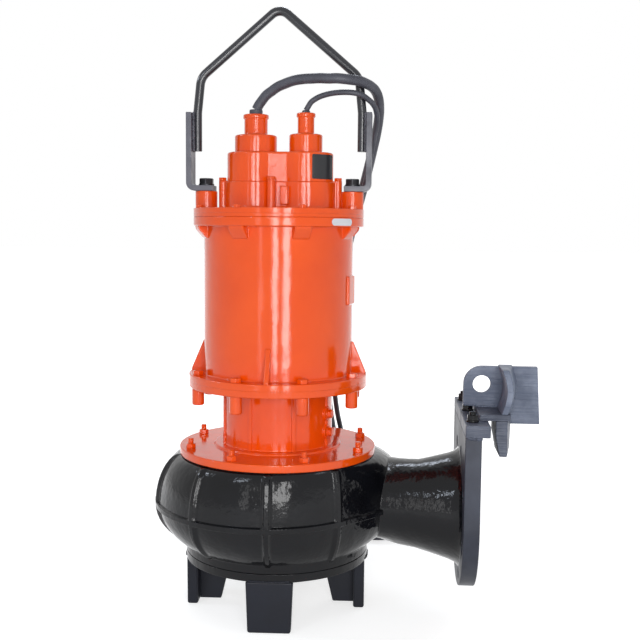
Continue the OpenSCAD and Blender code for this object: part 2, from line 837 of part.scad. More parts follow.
module oil_housing() {
  spigot_r = chamber_r - fit;
  flange_z = mid_z;
  color("#e8501a") difference() {
    union() {
      turned([[seal_hole_r, spigot_z], [spigot_r, spigot_z], [spigot_r, cover_z],
        [cover_r, cover_z], [cover_r, neck_z], [plinth_r, neck_z],
        [plinth_r, neck_z + plinth_h], [neck_r, neck_z + plinth_h], [neck_r, flange_z - 6],
        [neck_r + 6, flange_z], [mid_flange_r, flange_z], [mid_flange_r, frame_z],
        [chamber_oil_r, frame_z], [chamber_oil_r, floor_top_z], [seal_seat_r, floor_top_z],
        [seal_seat_r, low_seat_z], [seal_hole_r, low_seat_z]]);
      around(ring_bolts, mid_bolt_pr, half_step)
        translate([0, 0, flange_z - boss_stub_h]) cylinder(r = boss_stub_r, h = boss_stub_h + eps);
      around(ring_bolts, neck_r - 2, half_step)
        translate([0, -neck_rib_w / 2, neck_z + plinth_h / 2])
          cube([neck_rib_h + 2, neck_rib_w, flange_z - neck_z - plinth_h]);
      rotate([0, 0, plug_a]) for (i = [0, 1])
        translate([neck_r - 4, 0, plug_low_z + i * plug_step]) rotate([0, 90, 0])
          cylinder(r = plug_r + 6, h = 8);
    }
    ring(chamber_r - 15, seal_hole_r + 18, spigot_z - eps, cover_z - 6);
    around(ring_bolts, mid_bolt_pr, half_step)
      hole(m12[0] + fit, frame_z, mid_flange_t + boss_stub_h - 4);
    around(ring_bolts, cover_stud_pr, half_step) hole(m10[0] + bolt_gap, neck_z, cover_t + eps);
    rotate([0, 0, plug_a]) for (i = [0, 1])
      translate([chamber_oil_r - 2, 0, plug_low_z + i * plug_step]) rotate([0, 90, 0])
        cylinder(r = plug_r + fit, h = deep);
    groove(spigot_r, (spigot_z + cover_z) / 2);
  }
}

module cover_studs() {
  color("#e8501a") around(ring_bolts, cover_stud_pr, half_step) translate([0, 0, neck_z]) {
    difference() {
      hex(m10, m10[2] + 2);
      hole(m10[0] + fit, m10[2] + 3, m10[2] + 4);
    }
    translate([0, 0, -cover_t - 26]) cylinder(r = m10[0], h = cover_t + 26 + 18);
  }
}

module oil_plugs() {
  color("#e8501a") rotate([0, 0, plug_a]) for (i = [0, 1])
    translate([neck_r + 4, 0, plug_low_z + i * plug_step]) rotate([0, 90, 0]) {
      cylinder(r = plug_r + 3, h = 2);
      translate([0, 0, 2]) hex([0, 14, 0], 6);
      translate([0, 0, -14]) cylinder(r = plug_r, h = 14);
    }
}

// Motor frame

module frame_lug() {
  rotate([90, 0, 0]) linear_extrude(lug_w, center = true)
    polygon([[-6, 0], [lug_proud, 0], [lug_proud - 2, -lug_h / 3], [2, -lug_h], [-6, -lug_h]]);
}

module frame_gusset() {
  reach = mid_flange_r - barrel_r - 2;
  rotate([90, 0, 0]) linear_extrude(gusset_t, center = true)
    polygon([[-6, -eps], [reach, -eps], [reach, 4], [3, gusset_h], [-6, gusset_h]]);
}

module motor_frame() {
  flange_top_z = frame_z + mid_flange_t;
  flange_low_z = frame_top_z - top_flange_t;
  color("#ee5a1c") difference() {
    union() {
      turned([[frame_bore_r, frame_z], [mid_flange_r, frame_z], [mid_flange_r, flange_top_z],
        [barrel_r, flange_top_z], [barrel_r, flange_low_z], [top_flange_r, flange_low_z],
        [top_flange_r, frame_top_z], [frame_bore_r, frame_top_z]]);
      around(ring_bolts, barrel_r, half_step) translate([0, 0, flange_low_z]) frame_lug();
      around(4, barrel_r) translate([0, 0, flange_top_z]) frame_gusset();
      rotate([0, 0, pad_a]) translate([barrel_r - 6, -pad_w / 2, pad_z])
        cube([pad_t + 6, pad_w, pad_h]);
    }
    translate([0, 0, frame_z - eps]) cylinder(r = frame_bore_r, h = frame_h + 2 * eps);
    around(ring_bolts, mid_bolt_pr, half_step)
      hole(m12[0] + bolt_gap, flange_top_z, mid_flange_t + eps);
    around(ring_bolts, top_bolt_pr, half_step) hole(m8[0] + fit, frame_top_z, 24);
  }
}

module frame_bolts() {
  color("#e8501a") around(ring_bolts, mid_bolt_pr, half_step)
    translate([0, 0, frame_z + mid_flange_t]) bolt(m12, 2 * mid_flange_t + boss_stub_h - 6);
}

// Lower bearing housing

module lower_bearing_housing() {
  spigot_r = chamber_oil_r - fit;
  color("#8a8d92") difference() {
    turned([[seal_seat_r, housing_z], [housing_hub_r, housing_z],
      [housing_hub_r, frame_z - 14], [spigot_r, frame_z - 14], [spigot_r, frame_z],
      [frame_bore_r - fit, frame_z], [frame_bore_r - fit, frame_z + housing_disc_t],
      [housing_hub_r + 8, frame_z + housing_disc_t], [housing_hub_r, frame_z + housing_disc_t + 8],
      [housing_hub_r, housing_top_z], [lower_bearing_r + seat_fit, housing_top_z],
      [lower_bearing_r + seat_fit, lower_bearing_z], [seal_hole_r + 8, lower_bearing_z],
      [seal_hole_r + 8, lower_bearing_z - 3], [seal_hole_r, lower_bearing_z - 3],
      [seal_hole_r, up_seat_z], [seal_seat_r, up_seat_z]]);
    groove(spigot_r, frame_z - 7);
    around(4, cap_screw_pr, 45) hole(m8[0] + fit, housing_top_z, 14);
    translate([0, probe_pr, 0]) hole(probe_r + fit, frame_z + housing_disc_t, probe_l);
    translate([0, probe_pr, 0])
      hole(probe_spot_r, housing_top_z, housing_top_z - frame_z - housing_disc_t);
  }
}

module lower_bearing_cap() {
  color("#8a8d92") difference() {
    turned([[lower_seat_r + 12, housing_top_z], [lower_bearing_r - 8, housing_top_z],
      [lower_bearing_r - 8, lower_bearing_top_z], [lower_bearing_r - 1, lower_bearing_top_z],
      [lower_bearing_r - 1, housing_top_z], [housing_hub_r, housing_top_z],
      [housing_hub_r, housing_top_z + cap_t], [lower_seat_r + 12, housing_top_z + cap_t]]);
    around(4, cap_screw_pr, 45) hole(m8[0] + bolt_gap, housing_top_z + cap_t, cap_t + eps);
  }
}

module cap_screws() {
  color("#3b3d42") around(4, cap_screw_pr, 45)
    translate([0, 0, housing_top_z + cap_t]) bolt(m8, cap_t + 12);
}

module oil_probe() {
  color("#c8b070") translate([0, probe_pr, frame_z]) {
    translate([0, 0, housing_disc_t]) hex(m8, m8[2]);
    translate([0, 0, -probe_l]) cylinder(r = probe_r, h = probe_l + housing_disc_t + eps);
  }
}

// Upper bearing bracket, top cover and terminal box

module upper_bearing_bracket() {
  spigot_r = frame_bore_r - fit;
  web_z = frame_top_z - 8;
  color("#e8501a") difference() {
    turned([[shaft_seal_r + 7, hub_low_z], [bracket_hub_r, hub_low_z], [bracket_hub_r, web_z],
      [spigot_r, web_z], [spigot_r, frame_top_z], [top_flange_r, frame_top_z],
      [top_flange_r, rim_top_z], [upper_bearing_r + seat_fit, rim_top_z],
      [upper_bearing_r + seat_fit, upper_bearing_z], [shaft_seal_r + 7, upper_bearing_z]]);
    around(ring_bolts, top_bolt_pr, half_step) hole(m8[0] + bolt_gap, rim_top_z, 20);
    around(2, window_pr) hole(window_r, rim_top_z, 40);
    groove(spigot_r, frame_top_z - 4);
  }
}

// Plan of the terminal box, grown or shrunk by g
module box_plan(g) {
  translate([-lobe_left, 0]) circle(r = lobe_r + g);
  translate([lobe_right, 0]) circle(r = lobe_r + g);
  translate([-lobe_left / 2, -mid_half - g])
    square([(lobe_left + lobe_right) / 2, 2 * (mid_half + g)]);
}

module top_cover() {
  color("#ee5a1c") difference() {
    union() {
      translate([0, 0, rim_top_z]) cylinder(r = top_flange_r, h = top_rim_t);
      translate([0, 0, tier_z - eps]) linear_extrude(tier_h + eps) box_plan(tier_grow);
      for (s = [-1, 1]) translate([s * lift_bolt_x, 0, tier_z - eps])
        cylinder(r = lift_boss_r, h = lift_boss_h + eps);
      for (c = columns) translate([c[0], c[1], tier_z - eps]) cylinder(r = column_r, h = tier_h + eps);
      for (s = [-1, 1]) translate([7, s * (mid_half + tier_grow + pad_boss[1] / 2) - pad_boss[1] / 2, tier_z + 7])
        cube([pad_boss[0], pad_boss[1], pad_boss[2]]);
    }
    translate([0, 0, rim_top_z - eps]) linear_extrude(deep) box_plan(tier_grow - tier_wall);
    translate([0, 0, board_z]) linear_extrude(deep) box_plan(tier_grow - tier_wall + 3);
    around(ring_bolts, top_bolt_pr, half_step) hole(m8[0] + bolt_gap, tier_z, top_rim_t + eps);
    for (s = [-1, 1]) translate([s * lift_bolt_x, 0, 0]) hole(m16[0] + fit, bracket_z, 28);
    for (c = columns) translate([c[0], c[1], 0]) hole(m8[0] + fit, box_z, column_deep);
  }
}

module top_cover_bolts() {
  color("#e8501a") around(ring_bolts, top_bolt_pr, half_step)
    translate([0, 0, tier_z]) bolt(m8, top_rim_t + bracket_rim_t + 22);
}

module terminal_box() {
  color("#ee5a1c") difference() {
    union() {
      translate([0, 0, box_z]) linear_extrude(box_h) box_plan(0);
      for (c = columns) translate([c[0], c[1], box_z]) cylinder(r = column_r, h = column_over);
      for (c = columns) hull() {
        translate([c[0], c[1], box_z]) cylinder(r = column_r, h = column_over, $fn = smooth);
        translate([c[0] * 0.9, c[1] * 0.8, box_z]) cylinder(r = column_r, h = column_over, $fn = smooth);
      }
    }
    translate([0, 0, box_z - eps]) linear_extrude(box_h - box_roof + eps) box_plan(-box_wall);
    translate([power_x, 0, gland_z - box_roof - eps]) cylinder(r = power_base_r - 12, h = box_roof + 2 * eps);
    translate([control_x, 0, gland_z - box_roof - eps]) cylinder(r = control_base_r - 10, h = box_roof + 2 * eps);
    for (c = columns) translate([c[0], c[1], 0]) hole(m8[0] + bolt_gap, box_z + column_over, column_over + eps);
  }
}

module terminal_box_screws() {
  color("#e8501a") for (c = columns)
    translate([c[0], c[1], box_z + column_over]) bolt(m8, column_over + column_deep - 2);
}

stud_places = concat(
  [for (x = [-1, 1], y = [-1, 1]) [power_x + x * stud_spread, y * stud_spread]],
  [for (a = [0, 120, 240]) [control_x + 4 * cos(a), 4 * sin(a)]]);

module terminal_board() {
  color("#3a2a20") difference() {
    translate([0, 0, board_z]) linear_extrude(board_t) box_plan(tier_grow - tier_wall + 3 - skin);
    for (p = stud_places) translate([p[0], p[1], 0]) hole(stud_r * 0.6 + fit, box_z, board_t + eps);
  }
}

module terminal_studs() {
  color("#c9a227") for (p = stud_places) translate([p[0], p[1], board_z]) {
    translate([0, 0, -stud_under]) cylinder(r = stud_r * 0.6, h = stud_under + board_t + stud_up);
    translate([0, 0, board_t]) cylinder(r = stud_r, h = stud_nut_h, $fn = 6);
    translate([0, 0, -stud_nut_h]) cylinder(r = stud_r, h = stud_nut_h, $fn = 6);
  }
}

// Cable glands

module gland(base_r, base_h, tube_r, tube_h, lip, spigot_r, bore) {
  top = base_h + tube_h;
  turned([[bore, -gland_spigot_h], [spigot_r, -gland_spigot_h], [spigot_r, 0], [base_r, 0],
    [base_r, base_h - 3], [base_r - 3, base_h], [tube_r, base_h], [tube_r, top - lip_h - 2],
    [tube_r + lip, top - lip_h], [tube_r + lip, top - 2], [tube_r + lip - 2, top],
    [bore, top]]);
}

module power_gland() {
  color("#ee5a1c") translate([power_x, 0, gland_z])
    gland(power_base_r, power_base_h, power_tube_r, power_tube_h, power_lip,
      power_base_r - 12 - fit, power_grommet_r + fit);
}

module control_gland() {
  color("#ee5a1c") translate([control_x, 0, gland_z])
    gland(control_base_r, control_base_h, control_tube_r, control_tube_h, control_lip,
      control_base_r - 10 - fit, control_grommet_r + fit);
}

module power_grommet() {
  top = power_exit_z;
  color("#3d3e45") translate([power_x, 0, 0])
    turned([[0, top - power_grommet_up - grommet_deep], [power_grommet_r - 2, top - power_grommet_up - grommet_deep],
      [power_grommet_r, top - power_grommet_up - grommet_deep + 6], [power_grommet_r, top - 1],
      [power_grommet_r - 1, top], [0, top]]);
}

module control_grommet() {
  top = control_exit_z;
  color("#3d3e45") translate([control_x, 0, 0])
    turned([[0, top - control_grommet_up - grommet_deep],
      [control_grommet_r - 2, top - control_grommet_up - grommet_deep],
      [control_grommet_r, top - control_grommet_up - grommet_deep + 4],
      [control_grommet_r, top - control_grommet_up], [control_cable_r + 1, top], [0, top]]);
}

module supply_leads() {
  color("#a33a2a") {
    for (i = [0:3]) translate([stud_places[i][0], stud_places[i][1], box_z + stud_up])
      cylinder(r = lead_r, h = power_exit_z - power_grommet_up - grommet_deep - box_z - stud_up);
    for (i = [4:6]) translate([stud_places[i][0], stud_places[i][1], box_z + stud_up])
      cylinder(r = lead_r / 2, h = control_exit_z - control_grommet_up - grommet_deep - box_z - stud_up);
  }
}

// Lead from the upper winding head through a window of the bracket to a stud
module motor_lead(side, y, stud) {
  low = core_top_z + winding_gap + winding_l;
  tube([[side * (window_pr + 17), y, low], [side * (window_pr + 17), y, low + 5],
    [side * (window_pr + 4), y, frame_top_z - 12], [side * window_pr, y, frame_top_z - 6],
    [side * window_pr, y, rim_top_z + 6], [side * (window_pr - 4), y, rim_top_z + 16],
    [(side * window_pr + stud[0]) / 2, (y + stud[1]) / 2, board_z - 26],
    [stud[0] + side * 6, stud[1], board_z - 20], [stud[0], stud[1], board_z - 12],
    [stud[0], stud[1], board_z - stud_under]], lead_r, 8);
}

module motor_leads() {
  color("#c9b037") {
    motor_lead(-1, 0, stud_places[0]);
    motor_lead(1, -lead_gap, stud_places[2]);
    motor_lead(1, lead_gap, stud_places[3]);
  }
}

// Lifting gear

module lift_bracket() {
  x1 = bracket_x + bracket_t;
  translate([0, bracket_w / 2, 0]) rotate([90, 0, 0]) linear_extrude(bracket_w) union() {
    translate([bracket_foot_x, bracket_z]) square([x1 - bracket_out_r - bracket_foot_x, bracket_t]);
    translate([bracket_x, bracket_z + bracket_out_r]) square([bracket_t, bracket_h - bracket_out_r]);
    translate([x1 - bracket_out_r, bracket_z + bracket_out_r]) intersection() {
      difference() {
        circle(r = bracket_out_r);
        circle(r = bracket_out_r - bracket_t);
      }
      translate([0, -bracket_out_r]) square(bracket_out_r);
    }
  }
}

module lift_brackets() {
  color("#4b4c55") for (s = [0, 1]) mirror([s, 0, 0]) difference() {
    lift_bracket();
    translate([lift_bolt_x, 0, 0]) hole(m16[0] + bolt_gap, bracket_z + bracket_t, bracket_t + eps);
  }
}

module lift_bolts() {
  color("#2a2b2f") for (s = [-1, 1]) translate([s * lift_bolt_x, 0, bracket_z + bracket_t]) {
    ring(m16[1] / 2 + 2, m16[0] + bolt_gap / 2, 0, washer_t);
    translate([0, 0, washer_t]) bolt(m16, washer_t + bracket_t + 24);
  }
}

// Points on an arc in a plane, from angle a0 through turn
function arc_points(centre, r, a0, turn, n) =
  [for (i = [0:n]) centre + r * [cos(a0 + turn * i / n), sin(a0 + turn * i / n)]];

// Centre line of the bar's right half, as [x, z] points from its foot to its peak
function half_bar() =
  let (straight = [bar_x, bracket_top_z], shoulder = [shoulder_x, shoulder_z],
       peak = [0, peak_z], lean = unit(shoulder - straight), slope = unit(peak - shoulder),
       turn = acos(lean * slope), cut = shoulder_bend_r * tan(turn / 2),
       centre = shoulder - lean * cut + shoulder_bend_r * [-lean[1], lean[0]],
       slope_a = atan2(slope[1], slope[0]), peak_turn = 180 - slope_a,
       peak_in = peak - slope * peak_bend_r * tan(peak_turn),
       peak_centre = peak_in + peak_bend_r * [-slope[1], slope[0]])
  concat([[bar_x, bar_low_z], straight],
    arc_points(centre, shoulder_bend_r, atan2(lean[1], lean[0]) - 90, turn, 6),
    arc_points(peak_centre, peak_bend_r, slope_a - 90, peak_turn, 6));

module lift_bar() {
  half = half_bar();
  last = len(half) - 1;
  color("#23242a") tube(concat([for (p = half) [p[0], 0, p[1]]],
    [for (i = [last - 1:-1:0]) [-half[i][0], 0, half[i][1]]]), bar_r, 24);
}

// Blank plates

module nameplate() {
  color("#15161c") translate([lobe_right, 0, box_z + 5]) rotate([0, 0, -72])
    rotate_extrude(angle = 56) translate([lobe_r + fit, 0]) square([tag_t, 43]);
}

module flange_tag() {
  color("#c4c6ca") translate([0, 0, frame_top_z - 14]) rotate([0, 0, -48])
    rotate_extrude(angle = 19) translate([top_flange_r + fit, 0]) square([tag_t, 12]);
}

// Stator

module slot_plan(w, inner, outer) {
  for (i = [0:slots - 1]) rotate(i * 360 / slots) translate([inner, -w / 2])
    square([outer - inner, w]);
}

module stator_core() {
  color("#6b6e75") translate([0, 0, core_z]) linear_extrude(core_l) difference() {
    circle(r = frame_bore_r - seat_fit);
    circle(r = stator_bore_r);
    slot_plan(slot_mouth, stator_bore_r - 2, slot_in_r + 1);
    slot_plan(slot_w, slot_in_r, slot_out_r);
  }
}

module winding_end(low) {
  translate([0, 0, low]) turned([[slot_in_r + 2, 0], [winding_out_r - 4, 0],
    [winding_out_r, 4], [winding_out_r, winding_l - 4], [winding_out_r - 4, winding_l],
    [slot_in_r + 2, winding_l]]);
}

module stator_windings() {
  low = core_z - winding_gap - winding_l;
  color("#b5652a") union() {
    winding_end(low);
    winding_end(core_top_z + winding_gap);
    translate([0, 0, core_z - winding_gap - eps])
      linear_extrude(core_l + 2 * winding_gap + 2 * eps)
        slot_plan(slot_w - 2 * skin, slot_in_r + skin + 1, slot_out_r - skin);
  }
}

// Sealing rings and seals

module o_rings() {
  color("#1c1c1e") {
    seal_ring(lower_opening_r - fit, casing_z + spigot_h / 3);
    seal_ring(chamber_r - fit, (spigot_z + cover_z) / 2);
    seal_ring(chamber_oil_r - fit, frame_z - 7);
    seal_ring(frame_bore_r - fit, frame_top_z - 4);
  }
}

module seal_seats() {
  color("#e8e4da") {
    ring(seal_seat_r - fit, shaft_seal_r + 0.7, low_seat_z, floor_top_z);
    ring(seal_seat_r - fit, shaft_seal_r + 0.7, housing_z, up_seat_z);
  }
}

module seal_rings() {
  color("#4a4b50") {
    ring(seal_ring_r, shaft_seal_r + seat_fit, floor_top_z, floor_top_z + seal_ring_h);
    ring(seal_ring_r, shaft_seal_r + seat_fit, housing_z - seal_ring_h, housing_z);
  }
}

module seal_spring() {
  low = floor_top_z + seal_ring_h + spring_wire_r + skin;
  high = housing_z - seal_ring_h - spring_wire_r - skin;
  steps = 12 * spring_turns;
  color("#a9abb0") tube([for (i = [0:steps]) let (a = 360 * spring_turns * i / steps)
    [spring_r * cos(a), spring_r * sin(a), low + (high - low) * i / steps]],
    spring_wire_r, 8, [1, 0, 0]);
}

// Shaft and rotor

module key_slot(low, r, long, side) {
  translate([r - key_h / 2 - fit, -key_w / 2 - fit, low - fit])
    cube([key_h + side, key_w + 2 * fit, long + 2 * fit]);
}

module shaft() {
  shoulder_r = rotor_seat_r + 3;
  color("#b9bcc2") difference() {
    turned([[0, shaft_low_z], [shaft_end_r - 1, shaft_low_z], [shaft_end_r, shaft_low_z + 1],
      [shaft_end_r, hub_top_z], [shaft_seal_r, hub_top_z], [shaft_seal_r, lower_bearing_z - 4],
      [lower_seat_r, lower_bearing_z - 4], [lower_seat_r, lower_bearing_top_z],
      [shoulder_r, lower_bearing_top_z], [shoulder_r, rotor_shoulder_z],
      [rotor_seat_r, rotor_shoulder_z], [rotor_seat_r, core_top_z + 5],
      [rotor_seat_r - 3, core_top_z + 5], [rotor_seat_r - 3, upper_bearing_z],
      [upper_seat_r, upper_bearing_z], [upper_seat_r, shaft_top_z - 1],
      [upper_seat_r - 1, shaft_top_z], [0, shaft_top_z]]);
    translate([0, 0, shaft_low_z - eps]) cylinder(r = m16[0] + fit, h = 40);
    key_slot(hub_low_z2 + 4, shaft_end_r, key_l, eps);
    key_slot(core_z + 20, rotor_seat_r, core_l - 40, eps);
  }
}

module shaft_keys() {
  color("#8f9298") {
    translate([shaft_end_r - key_h / 2, -key_w / 2, hub_low_z2 + 4]) cube([key_h, key_w, key_l]);
    translate([rotor_seat_r - key_h / 2, -key_w / 2, core_z + 20]) cube([key_h, key_w, core_l - 40]);
  }
}

module rotor_core() {
  color("#7b7e85") difference() {
    ring(rotor_r, rotor_seat_r + seat_fit, core_z - rotor_over, core_top_z + rotor_over);
    key_slot(core_z + 20, rotor_seat_r, core_l - 40, fit);
  }
}

module cage_end(low, up) {
  ring(rotor_r - 2, rotor_r - 22, low, low + end_ring_h);
  around(12, rotor_r - 12) translate([-7, -2, up > 0 ? low + end_ring_h - eps : low - fin_h])
    cube([14, 4, fin_h + eps]);
}

module rotor_cage() {
  color("#c3c6cb") {
    cage_end(core_z - rotor_over - end_ring_h, -1);
    cage_end(core_top_z + rotor_over, 1);
  }
}

// Impeller

function vane_r(u) = vane_start_r + (impeller_r - vane_start_r) * pow(u, 0.9);
function vane_point(u, shift) = let (r = vane_r(u) + shift, a = -vane_wrap * u) [r * cos(a), r * sin(a)];

module vane() {
  half = vane_t / 2;
  intersection() {
    polygon(concat([for (i = [0:vane_steps]) vane_point(i / vane_steps, half)],
      [for (i = [vane_steps:-1:0]) vane_point(i / vane_steps, -half)]));
    circle(r = impeller_r - 1);
  }
}

module impeller() {
  neck_in_r = inlet_r + 1;
  color("#55585c") difference() {
    union() {
      turned([[neck_in_r, neck_low_z], [neck_gap_r, neck_low_z], [neck_gap_r, front_shroud_z],
        [impeller_r, front_shroud_z], [impeller_r, vane_z], [neck_in_r, vane_z]]);
      translate([0, 0, vane_z - eps]) linear_extrude(channel_h + 2 * eps)
        for (i = [0:vanes - 1]) rotate(i * 360 / vanes) vane();
      ring(impeller_r, shaft_end_r + 2, back_shroud_z, back_shroud_z + shroud_t);
      turned([[shaft_end_r + 2, hub_low_z2], [hub_r - 4, hub_low_z2], [hub_r, hub_low_z2 + 4],
        [hub_r + 6, back_shroud_z + 1], [hub_r, hub_top_z - 2], [shaft_end_r + 2, hub_top_z - 2]]);
      ring(shaft_end_r + 3, shaft_end_r + seat_fit, hub_low_z2, hub_top_z - 2);
    }
    key_slot(hub_low_z2 + 4, shaft_end_r, key_l, fit);
  }
}

module impeller_bolt() {
  color("#8f9298") translate([0, 0, hub_low_z2]) mirror([0, 0, 1]) {
    difference() {
      cylinder(r = bolt_washer_r, h = bolt_washer_t);
      translate([0, 0, -eps]) cylinder(r = m16[0] + fit, h = bolt_washer_t + 2 * eps);
    }
    translate([0, 0, bolt_washer_t]) bolt(m16, bolt_washer_t + 30);
  }
}

// Ball bearings

// Ring of a ball bearing, with a groove for the balls
module race(inner, outer, low, wide, ball_pr, ball_r) {
  difference() {
    ring(outer, inner, low, low + wide);
    translate([0, 0, low + wide / 2]) rotate_extrude()
      translate([ball_pr, 0]) circle(r = ball_r + turning_gap, $fn = 48);
  }
}

lower_ball_pr = (lower_seat_r + lower_bearing_r) / 2;
upper_ball_pr = (upper_seat_r + upper_bearing_r) / 2;
race_gap = 0.86; // share of a ball's radius between the pitch circle and each ring

module balls(n, pr, r, low, wide, cage_t) {
  mid = low + wide / 2;
  around(n, pr) translate([0, 0, mid]) sphere(r = r, $fn = 48);
  difference() {
    ring(pr + cage_t, pr - cage_t, mid - r * 0.7, mid + r * 0.7);
    around(n, pr) translate([0, 0, mid]) sphere(r = r + 0.2, $fn = 48);
  }
}

module lower_bearing_outer() {
  color("#c0c3c8") race(lower_ball_pr + lower_ball_r * race_gap, lower_bearing_r, lower_bearing_z,
    lower_bearing_w, lower_ball_pr, lower_ball_r);
}

module lower_bearing_inner() {
  color("#c0c3c8") race(lower_seat_r + seat_fit, lower_ball_pr - lower_ball_r * race_gap,
    lower_bearing_z, lower_bearing_w, lower_ball_pr, lower_ball_r);
}

module lower_bearing_balls() {
  color("#d6d8dc") balls(9, lower_ball_pr, lower_ball_r, lower_bearing_z, lower_bearing_w, 2.5);
}

module upper_bearing_outer() {
  color("#c0c3c8") race(upper_ball_pr + upper_ball_r * race_gap, upper_bearing_r, upper_bearing_z,
    upper_bearing_w, upper_ball_pr, upper_ball_r);
}

module upper_bearing_inner() {
  color("#c0c3c8") race(upper_seat_r + seat_fit, upper_ball_pr - upper_ball_r * race_gap,
    upper_bearing_z, upper_bearing_w, upper_ball_pr, upper_ball_r);
}

module upper_bearing_balls() {
  color("#d6d8dc") balls(9, upper_ball_pr, upper_ball_r, upper_bearing_z, upper_bearing_w, 2);
}

// Cables

module power_cable() {
  color("#3a3b44") tube(power_route, power_cable_r, tube_sides);
}

module control_cable() {
  color("#3a3b44") tube(control_route, control_cable_r, tube_sides);
}

// Outer shape of a coil: a ring of turns side by side and above each other
module coil(at, mid_r, r, turns) {
  side = 2 * r * turns;
  translate([at[0], at[1], 0]) rotate_extrude() translate([mid_r, side / 2])
    offset(r = r / 2, $fn = 16) square(side - r, center = true);
}

module power_coil() {
  color("#3a3b44") coil(power_coil_at, power_coil_mid_r, power_cable_r, power_coil_turns);
}

module control_coil() {
  color("#3a3b44") coil(control_coil_at, control_coil_mid_r, control_cable_r, control_coil_turns);
}

// End of a cable along +X: a shrunk boot, then cores side by side with flat lugs
module cable_end(r, long, core_long, core, lug) {
  n = 4;
  low = core - r;
  rotate([0, 90, 0]) cylinder(r1 = r + boot_wall, r2 = r + boot_wall / 3, h = long, $fn = 48);
  for (i = [0:n - 1]) translate([long - 2 * core, (i - (n - 1) / 2) * core * 2.2, low]) {
    rotate([0, 90, 0]) cylinder(r = core, h = core_long + 2 * core, $fn = 24);
    translate([core_long + 2 * core - eps, -core, -core / 4]) cube([lug, core * 2, core / 2]);
  }
}

module power_cable_end() {
  color("#2c2d33") translate([power_end_at[0], power_end_at[1],
    2 * power_cable_r * power_coil_turns + power_cable_r + boot_wall])
      cable_end(power_cable_r, boot_l, core_end_l, core_r, lug_end_l);
}

module control_cable_end() {
  color("#2c2d33") translate([control_end_at[0], control_end_at[1],
    2 * control_cable_r * control_coil_turns + control_cable_r + boot_wall]) rotate([0, 0, 180])
      cable_end(control_cable_r, control_boot_l, control_core_l, control_core_r, control_lug_l);
}

support_legs();
suction_cover();
suction_bolts();
wear_ring();
volute_casing();
claw_ledge();
guide_claw();
claw_bolts();
oil_housing();
cover_studs();
oil_plugs();
motor_frame();
frame_bolts();
lower_bearing_housing();
lower_bearing_cap();
cap_screws();
upper_bearing_bracket();
top_cover();
top_cover_bolts();
terminal_box();
terminal_box_screws();
terminal_board();
terminal_studs();
power_gland();
power_grommet();
control_gland();
control_grommet();
lift_brackets();
lift_bar();
lift_bolts();
nameplate();
flange_tag();
stator_core();
stator_windings();
motor_leads();
supply_leads();
o_rings();
seal_seats();
oil_probe();
lower_bearing_outer();
upper_bearing_outer();
shaft();
rotor_core();
rotor_cage();
shaft_keys();
impeller();
impeller_bolt();
lower_bearing_inner();
upper_bearing_inner();
seal_rings();
seal_spring();
lower_bearing_balls();
upper_bearing_balls();
power_cable();
control_cable();
power_coil();
control_coil();
power_cable_end();
control_cable_end();
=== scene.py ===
# %% [markdown]
# # A submersible sewage pump
# This lesson dresses a sewage pump that was drawn first as solids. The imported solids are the
# fixed frame: every visible casting, bar and cable below is made over the solid that it stands
# for, so nothing has to be fitted by eye. Sizes are written in millimetres, as on a shop drawing,
# and each finished mesh is scaled to metres once.

# %% The frame
import json
import random
from math import acos, atan2, ceil, cos, degrees, hypot, pi, radians, sin, sqrt, tan

import bmesh
import bpy
from mathutils import Matrix, Vector


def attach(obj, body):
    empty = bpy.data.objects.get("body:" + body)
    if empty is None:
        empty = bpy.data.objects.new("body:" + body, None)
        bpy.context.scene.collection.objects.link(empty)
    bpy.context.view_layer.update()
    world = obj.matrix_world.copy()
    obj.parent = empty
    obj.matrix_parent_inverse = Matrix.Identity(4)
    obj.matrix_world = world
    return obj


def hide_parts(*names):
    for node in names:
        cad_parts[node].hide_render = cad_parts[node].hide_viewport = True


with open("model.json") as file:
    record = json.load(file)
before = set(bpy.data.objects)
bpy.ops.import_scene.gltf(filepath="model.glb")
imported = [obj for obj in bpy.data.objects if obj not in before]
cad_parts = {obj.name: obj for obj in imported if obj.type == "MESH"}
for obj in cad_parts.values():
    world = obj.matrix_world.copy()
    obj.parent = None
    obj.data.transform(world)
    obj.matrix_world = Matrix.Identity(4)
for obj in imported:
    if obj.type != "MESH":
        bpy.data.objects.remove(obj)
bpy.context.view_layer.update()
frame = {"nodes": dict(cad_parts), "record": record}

# %% [markdown]
# ## The camera
# The photograph was taken from a little above the middle of the pump, about 1.8 m away. The
# camera's place was found by least squares from edges whose size is known, so its position is
# plain numbers and its three angles are turned into a matrix here. A constraint that tracks the
# pump would be shorter, but it can't hold the small roll.

# %% Camera
CAMERA_AT = Vector((0.2009, -1.7718, 0.6931))
YAW, PITCH, ROLL = radians(-4.01692629), radians(5.3045834), radians(0.52510844)
FOCAL_PIXELS, PICTURE_PIXELS, SENSOR = 974.538, 640, 36


def camera_matrix():
    ahead = Vector((sin(YAW) * cos(PITCH), cos(YAW) * cos(PITCH), -sin(PITCH)))
    right = Vector((cos(YAW), -sin(YAW), 0))
    down = ahead.cross(right)
    across = cos(ROLL) * right - sin(ROLL) * down
    lower = sin(ROLL) * right + cos(ROLL) * down
    turned_axes = Matrix((across, -lower, -ahead)).transposed().to_4x4()
    return Matrix.Translation(CAMERA_AT) @ turned_axes


scene = bpy.context.scene
lens = bpy.data.cameras.new("camera")
lens.sensor_width = SENSOR
lens.lens = FOCAL_PIXELS / PICTURE_PIXELS * SENSOR
lens.clip_start, lens.clip_end = 0.05, 60
camera = bpy.data.objects.new("camera", lens)
camera.matrix_world = camera_matrix()
scene.collection.objects.link(camera)
scene.camera = camera
scene.view_settings.view_transform = "Standard"
print("lens:", round(lens.lens, 2), "mm")

